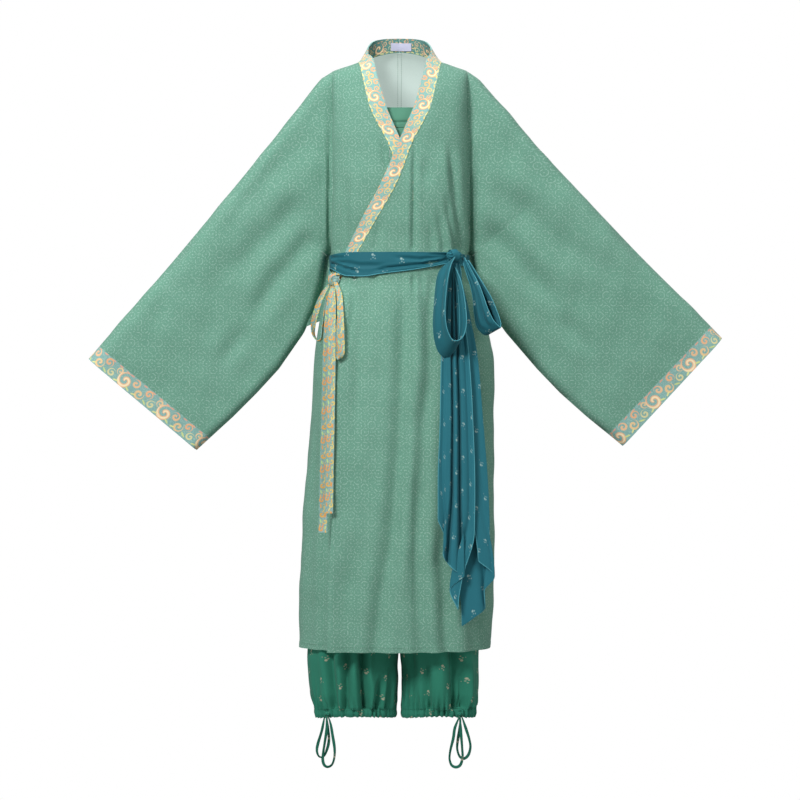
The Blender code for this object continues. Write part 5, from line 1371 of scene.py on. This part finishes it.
def makeStrip(name):
    start, facing = leaves(name)
    half = np.array(ribbons[name][0][3:]) * 0.6
    half -= facing * (half @ facing)
    rows = catmull(np.array([(*start, *half)] + list(ribbons[name])), 0.0032)
    onSash = name.startswith("sash")
    wide = np.linspace(-1.0, 1.0, 33 if onSash else 15)
    grid = rows[:, None, :3] + wide[None, :, None] * rows[:, None, 3:]
    pleats, depth, curl = stripLook[name]
    along = lengths(rows[:, :3])
    acrossU = wide[None, :] * np.linalg.norm(rows[:, 3:], axis=1)[:, None]
    uv = mapOf(acrossU, along[:, None])
    flatShare = np.broadcast_to(wide, acrossU.shape)
    closing = 0.35 + 0.65 * smooth(0.0, 0.035, along[-1] - along)
    opening = (smooth(0.0, 0.035, along) * closing)[:, None]
    plane = (2, 1 if name == "sash_loop_side" else 0)
    heading = np.unwrap(np.arctan2(*np.gradient(rows[:, plane], axis=0).T))
    turning = np.convolve(np.abs(np.gradient(heading)), np.ones(9) / 9, "same")
    opening = opening * np.exp(-turning / 0.06)[:, None]   # pleats close where the strip doubles back
    sway = 0.0012 * np.sin(along / 0.034 + len(name)) * smooth(0.0, 0.05, along)
    shift = (depth * np.sin(np.pi * pleats * flatShare + 0.8) * opening - curl * flatShare ** 4 * opening
             + (sway[:, None] if not onSash else 0.0))
    normal = unit(np.cross(rows[:, 3:], np.gradient(rows[:, :3], axis=0)))
    grid = grid + normal[:, None, :] * shift[:, :, None]
    grid[0] = start + wide[:, None] * half
    patch = {"grid": grid, "uv": uv, "flip": True, "locks": (("top", facing, everyPoint),)}
    piece = sew(name + "_strip", [patch], body["cloth"], ("sash",) if onSash else ("tie",))
    declare(piece, (name,))
    if onSash:
        rolledEdges.extend([grid[1:, 0], grid[1:, -1]])


def makeTail(name):
    start, facing = leaves(name)
    side = np.cross(facing, ahead)
    side *= math.copysign(1.0, side[0]) / np.linalg.norm(side)
    look = tailLook[name]
    share = np.linspace(0.0, 1.0, tailCloth["columns"] + 1)
    first = start[:, None] + side[:, None] * tailCloth["start"] * (share - 0.5)
    table = [(start[2], start[2], first[0, 0], first[0, -1], start[1], 0.0), *tails[name]]
    sides = [((a + b) / 2, left, right, y, fold) for a, b, left, right, y, fold in table]
    run, forward = through(look["across"], 1, share), through(look["across"], 2, share)
    hemX, hemZ = through(look["hem"], 1, share), through(look["hem"], 2, share)
    valleys = sum(deep * np.exp(-((share - at) / wide) ** 2) for at, wide, deep in look["pleats"])
    ridges = 0.1 * np.sin(2 * np.pi * 2.2 * share + 0.6)
    low = min(row[0] for row in sides)
    rows = []
    for fallen in np.linspace(0.0, 1.0, 120):
        z = start[2] + (hemZ - start[2]) * fallen ** 1.02
        left, right, y, fold = (through(sides, column, np.maximum(z, low)) for column in (1, 2, 3, 4))
        spread = smooth(0.0, 0.1, start[2] - z)
        shifting = 1 + 0.1 * np.sin(6 * fallen + len(name))
        x = left + (right - left) * (share + (run - share) * spread)
        x = x + (hemX - x) * smooth(tailCloth["hemReach"], 0.0, z - hemZ)
        deep = fold * tailCloth["depth"] * (1 + 0.4 * smooth(0.12, 0.0, z - hemZ))
        y = y + forward * spread - deep * (1.0 - 1.25 * valleys * shifting + ridges)
        rows.append(np.stack([x, y, z], axis=1))
    grid = np.array(rows)
    grid[0] = start + side * (tailCloth["start"] * (share - 0.5))[:, None]
    uv = mapOf(rowLengths(grid), lengths(grid[:, len(share) // 2])[:, None])
    piece = sew(name + "_cloth", [{"grid": grid, "uv": uv, "locks": (("top", facing, everyPoint),)}],
                body["cloth"], ("sashFall",))
    declare(piece, (name,))
    rolledEdges.extend([grid[1:, 0], grid[-1], grid[1:, -1]])


def framesAlong(path):   # unit directions aside from a path and through it
    tangent = unit(np.gradient(path, axis=0))
    aside = unit(np.cross(tangent, ahead))
    return aside, np.cross(tangent, aside)


def tubeFaces(first, along, sides):   # one tube's faces and map, closed at both ends
    faces, uvs = [], []
    for k in range(len(along) - 1):
        for s in range(sides):
            a, b = first + k * sides + s, first + k * sides + (s + 1) % sides
            faces.append((a, b, b + sides, a + sides))
            uvs += [(0.001 * u, along[v]) for u, v in ((s, k), (s + 1, k), (s + 1, k + 1), (s, k + 1))]
    last = first + (len(along) - 1) * sides
    caps = [range(first + sides - 1, first - 1, -1), range(last, last + sides)]
    return faces + caps, uvs + [(0, 0)] * sides * 2


def makeTubes(name, paths, radius, finish, sides=6):   # thin rolled edges, one tube along each path
    points, faces, uvs = [], [], []
    turns = np.linspace(0.0, 2 * np.pi, sides, endpoint=False)
    for path in paths:
        aside, third = framesAlong(path)
        tube = tubeFaces(len(points), lengths(path), sides)
        faces, uvs = faces + tube[0], uvs + tube[1]
        for p, a, b in zip(path, aside, third):
            points += [tuple(p + radius * (math.cos(turn) * a + math.sin(turn) * b)) for turn in turns]
    return clothObject(name, points, faces, uvs, (finish,))


def makeSash():
    around = waistRing(body["sashLine"], sash["out"], 240)
    x, y = around[:, 0], around[:, 1]
    top = np.where(y > 0, sash["back"][0], through(sash["edges"], 1, x))
    bottom = np.where(y > 0, sash["back"][1], through(sash["edges"], 2, x))
    grid = np.array([np.stack([x, y, top + (bottom - top) * share], axis=1)
                     for share in np.linspace(0, 1, 17)])
    uv = mapOf(lengths(around), grid[:, :, 2])

    def press(points):
        x, y, z = points.T
        soft = 0.0006 * np.sin(z / 0.003 + 9.0 * x) * smooth(-0.02, 0.05, y)   # small creases along it
        soft = soft + 0.0005 * np.sin(z / 0.006 + 14 * x)
        return soft - np.where(y < 0, foldDepth(sash["folds"], x, z), 0.0)

    band = sew("sash_waist_band", [{"grid": grid, "uv": uv}], body["double"], ("sash",), press)
    for name in ("sash_loop_front", "sash_loop_side"):
        makeStrip(name)
    for name in tails:
        makeTail(name)
    makeKnot("sash_knot", 7, 0.8)
    makeWrap("sash_knot_wrap", "sash_knot", 12.0, 1.0, 0.015)
    rolledEdges.append(sewnGrids["sash_waist_band"][0][-1])
    hems = makeTubes("sash_rolled_hems", rolledEdges, 0.0009, "sashHem")
    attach(hems, "root")
    declare(band, ("sash_band",))


# a flat tape, with half its width and thickness
drawstring = mm({"step": 6.5, "wide": 3, "thick": 0.7, "declared": 6})
laces = mm({   # the way each loop hangs after it has left its knot
    "drawstring_short_right": (
        (-156, -65, -1345), (-164, -65, -1372), (-166, -65, -1386), (-162.5, -65, -1396.5),
        (-156, -64.5, -1399), (-150, -63.5, -1394), (-143.5, -61.5, -1376), (-142, -59.5, -1360),
        (-144, -58.5, -1342), (-146, -59, -1325),
    ),
    "drawstring_long_right": (
        (-146.1, -69, -1340), (-149.5, -70, -1365), (-153, -70, -1388), (-154, -70, -1404),
        (-150.5, -70, -1414.5), (-143, -70, -1417.5), (-135, -70, -1412), (-130.8, -69, -1398),
        (-130.5, -68, -1380), (-134.5, -67, -1354.3), (-138.5, -65.5, -1332),
    ),
    "drawstring_long_left": (
        (111, -70, -1340), (108, -70, -1360), (102, -70, -1385), (100.5, -70, -1402), (105, -70, -1414.5),
        (114, -70, -1418), (122.5, -70, -1413), (126.5, -70, -1398), (125.8, -69.5, -1380),
        (123.8, -69, -1354.3), (121.5, -69, -1324),
    ),
    "drawstring_short_left": (
        (133, -64, -1340), (140, -64, -1362), (142.5, -64, -1379), (138, -64, -1395), (129, -63.5, -1402),
        (120.5, -62.5, -1397), (116, -61, -1382), (117.5, -60, -1364), (121, -60, -1343),
        (122.5, -61, -1325),
    ),
})


def makeLace(name):   # loops out of its knot and back into it
    start, facing = leaves(name)
    knot = np.array(knots[leaving[name][0]][0])
    back = knot + (np.array(laces[name][-1]) - knot) * 0.22
    path = catmull(np.array([start, start + facing * drawstring["step"], *laces[name], back]), 0.0026)
    along = lengths(path)
    aside, depth = framesAlong(path)
    # the tape turns edge-on and flat again as it hangs
    twist = 0.9 * np.sin(along / along[-1] * 2 * np.pi * 1.5 + len(name)) * np.sin(np.pi * along / along[-1])
    cos, sin = np.cos(twist)[:, None], np.sin(twist)[:, None]
    wideWay, thinWay = cos * aside + sin * depth, cos * depth - sin * aside
    spread = 0.45 + 0.55 * smooth(0.0, 0.03, np.minimum(along, along[-1] - along))
    turns = np.linspace(0, 2 * np.pi, 12, endpoint=False)
    ring = [np.sign(part) * np.abs(part) ** 0.6 * drawstring[size]
            for part, size in ((np.cos(turns), "wide"), (np.sin(turns), "thick"))]
    points = [tuple(p + wideWay[k] * w * spread[k] + thinWay[k] * t)
              for k, p in enumerate(path) for w, t in zip(*ring)]
    faces, uvs = tubeFaces(0, along, len(turns))
    piece = clothObject(name + "_tape", points, faces, uvs, ("drawstring",))
    print("  {:26s} length {:.3f} m".format(piece.name, along[-1]))
    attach(piece, "root")
    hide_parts(name)
    tuple(start)


# the label is blank; the seam allowance runs open down the back and is seen inside the neck
label = mm({"first": -17.8, "last": 24.3, "bottom": 42.5, "top": 59, "wall": 0.8, "tilt": -1.2, "puff": 0.6})
backSeam = mm({"half": 4.6, "to": 360, "thick": 0.6, "under": 1, "ridge": 0.4})


def makeLabel():
    (_, _, nape, height), (turn, _, beside, _), *_ = collar["round"]
    turn = math.radians(turn)
    reach = body["neckHalf"] * math.sin(turn)
    seam = body["neckTop"] + body["napeRise"]
    rows = []
    tall = label["top"] - label["bottom"]
    for high in np.linspace(label["top"], label["bottom"], 15):
        share = np.linspace(0.0, 1.0, 33)
        x = label["first"] + (label["last"] - label["first"]) * share
        along = np.abs(x) / reach
        sewn = body["napeDepth"] * (1.0 + (math.cos(turn) - 1.0) * along)
        free = nape + (beside - nape) * along
        up = (high - seam) / (height - seam)
        y = sewn + (free - sewn) * up - body["double"] - label["wall"] - 2 * body["seam"]
        y = y - label["puff"] * np.sin(np.pi * share) * np.sin(np.pi * (high - label["bottom"]) / tall)
        rows.append(np.stack([x, y, high + label["tilt"] * share], axis=1))
    grid = np.array(rows)
    piece = sew("blank_neck_label", [{"grid": grid, "uv": grid[:, :, (0, 2)]}], label["wall"], ("label",))
    declare(piece, ("neck_label",))


def makeBackSeam():
    shares = np.array((-1.0, -0.8, -0.4, -0.08, 0.0, 0.08, 0.4, 0.8, 1.0))
    rows = []
    for down in [d for d in robeDowns if d < backSeam["to"]]:
        row = movedOut(section(down, "back"), -(body["cloth"] + backSeam["under"]))
        x = backSeam["half"] * shares
        y = np.interp(x, row[:, 0], row[:, 1]) + backSeam["ridge"] * (np.abs(shares) < 0.05)
        z = np.interp(x, row[:, 0], row[:, 2])
        pressed = pressRobe(np.stack([x, y, z], axis=1))
        rows.append(np.stack([x, y + pressed, z], axis=1))
    grid = np.array(rows)
    piece = sew("back_seam_allowance", [{"grid": grid, "uv": grid[:, :, (0, 2)]}], backSeam["thick"],
                ("robeReverse",))
    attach(piece, "root")
    for k in (1, 7):   # a line of stitches near each edge
        stitchLines["thread"].append(grid[:, k] + (0.0, -0.0002, 0.0))


stitch = mm({"spacing": 4.2, "long": 2.8, "thick": 0.42})


def stitchTree():   # lays one stitch after another along the lines it is given
    tree = bpy.data.node_groups.new("stitch line", "GeometryNodeTree")
    for name, kind in (("Geometry", "Geometry"), ("Spacing", "Float"), ("Length", "Float"),
                       ("Thickness", "Float"), ("Thread", "Material")):
        tree.interface.new_socket(name, in_out="INPUT", socket_type="NodeSocket" + kind)
    tree.interface.new_socket("Geometry", in_out="OUTPUT", socket_type="NodeSocketGeometry")
    given = add(tree, "NodeGroupInput").outputs
    line = add(tree, "GeometryNodeMeshToCurve", {0: given["Geometry"]})
    dots = add(tree, "GeometryNodeCurveToPoints", {"Curve": line, "Length": given["Spacing"]}, mode="LENGTH")
    long = add(tree, "Math", {0: given["Length"], 1: 0.5}, operation="MULTIPLY")
    size = add(tree, "CombineXYZ", {0: given["Thickness"], 1: given["Thickness"], 2: long})
    ball = add(tree, "GeometryNodeMeshUVSphere", {"Segments": 6, "Rings": 5, "Radius": 1.0})
    laid = add(tree, "GeometryNodeInstanceOnPoints", {
        "Points": dots.outputs["Points"], "Instance": ball.outputs["Mesh"],
        "Rotation": dots.outputs["Rotation"], "Scale": size})
    real = add(tree, "GeometryNodeRealizeInstances", {0: laid})
    made = add(tree, "GeometryNodeSetMaterial", {"Geometry": real, "Material": given["Thread"]})
    add(tree, "NodeGroupOutput", {0: made})
    return tree


def makeStitches():
    tree = stitchTree()
    inputs = {item.name: item.identifier for item in tree.interface.items_tree if item.in_out == "INPUT"}
    for thread, slot in (("thread", "robe_cloth"), ("darkThread", "trouser_cloth")):
        points, edges = [], []
        for line in stitchLines[thread]:
            edges += [(len(points) + k, len(points) + k + 1) for k in range(len(line) - 1)]
            points += [tuple(p) for p in line]
        mesh = bpy.data.meshes.new(thread + " lines")
        mesh.from_pydata(points, edges, [])
        guide = newObject(thread + "_lines", mesh)
        modifier = guide.modifiers.new("stitches", "NODES")
        modifier.node_group = tree
        modifier[inputs["Spacing"]] = stitch["spacing"]
        modifier[inputs["Length"]] = stitch["long"]
        modifier[inputs["Thickness"]] = stitch["thick"]
        modifier[inputs["Thread"]] = cloths[thread]
        bpy.context.view_layer.update()
        made = bpy.data.meshes.new_from_object(guide.evaluated_get(bpy.context.evaluated_depsgraph_get()))
        bpy.data.objects.remove(guide, do_unlink=True)
        made.name = thread + "_stitches"
        if "cloth" not in made.uv_layers:
            made.uv_layers.new(name="cloth")
        made.shade_smooth()
        piece = newObject(thread + "_stitches", made)
        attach(piece, "root")


rolledEdges = []
makeLabel()
makeBackSeam()
makeTrousers()
makeCamisole()
print("trousers and camisole sewn")
makeSash()
makeKnot("tie_knot", 5, 1.0)
makeWrap("tie_knot_wrap_high", "tie_knot", 28.0, 0.4, 0.0085)
makeWrap("tie_knot_wrap_low", "tie_knot", -35.0, 2.2, 0.007)
for name in ribbons:
    if name.startswith("tie"):
        makeStrip(name)
for name in ("drawstring_knot_right", "drawstring_knot_left"):
    makeKnot(name, 5, 1.2)
for name in laces:
    makeLace(name)
makeStitches()
print("sash, ties and drawstrings tied")
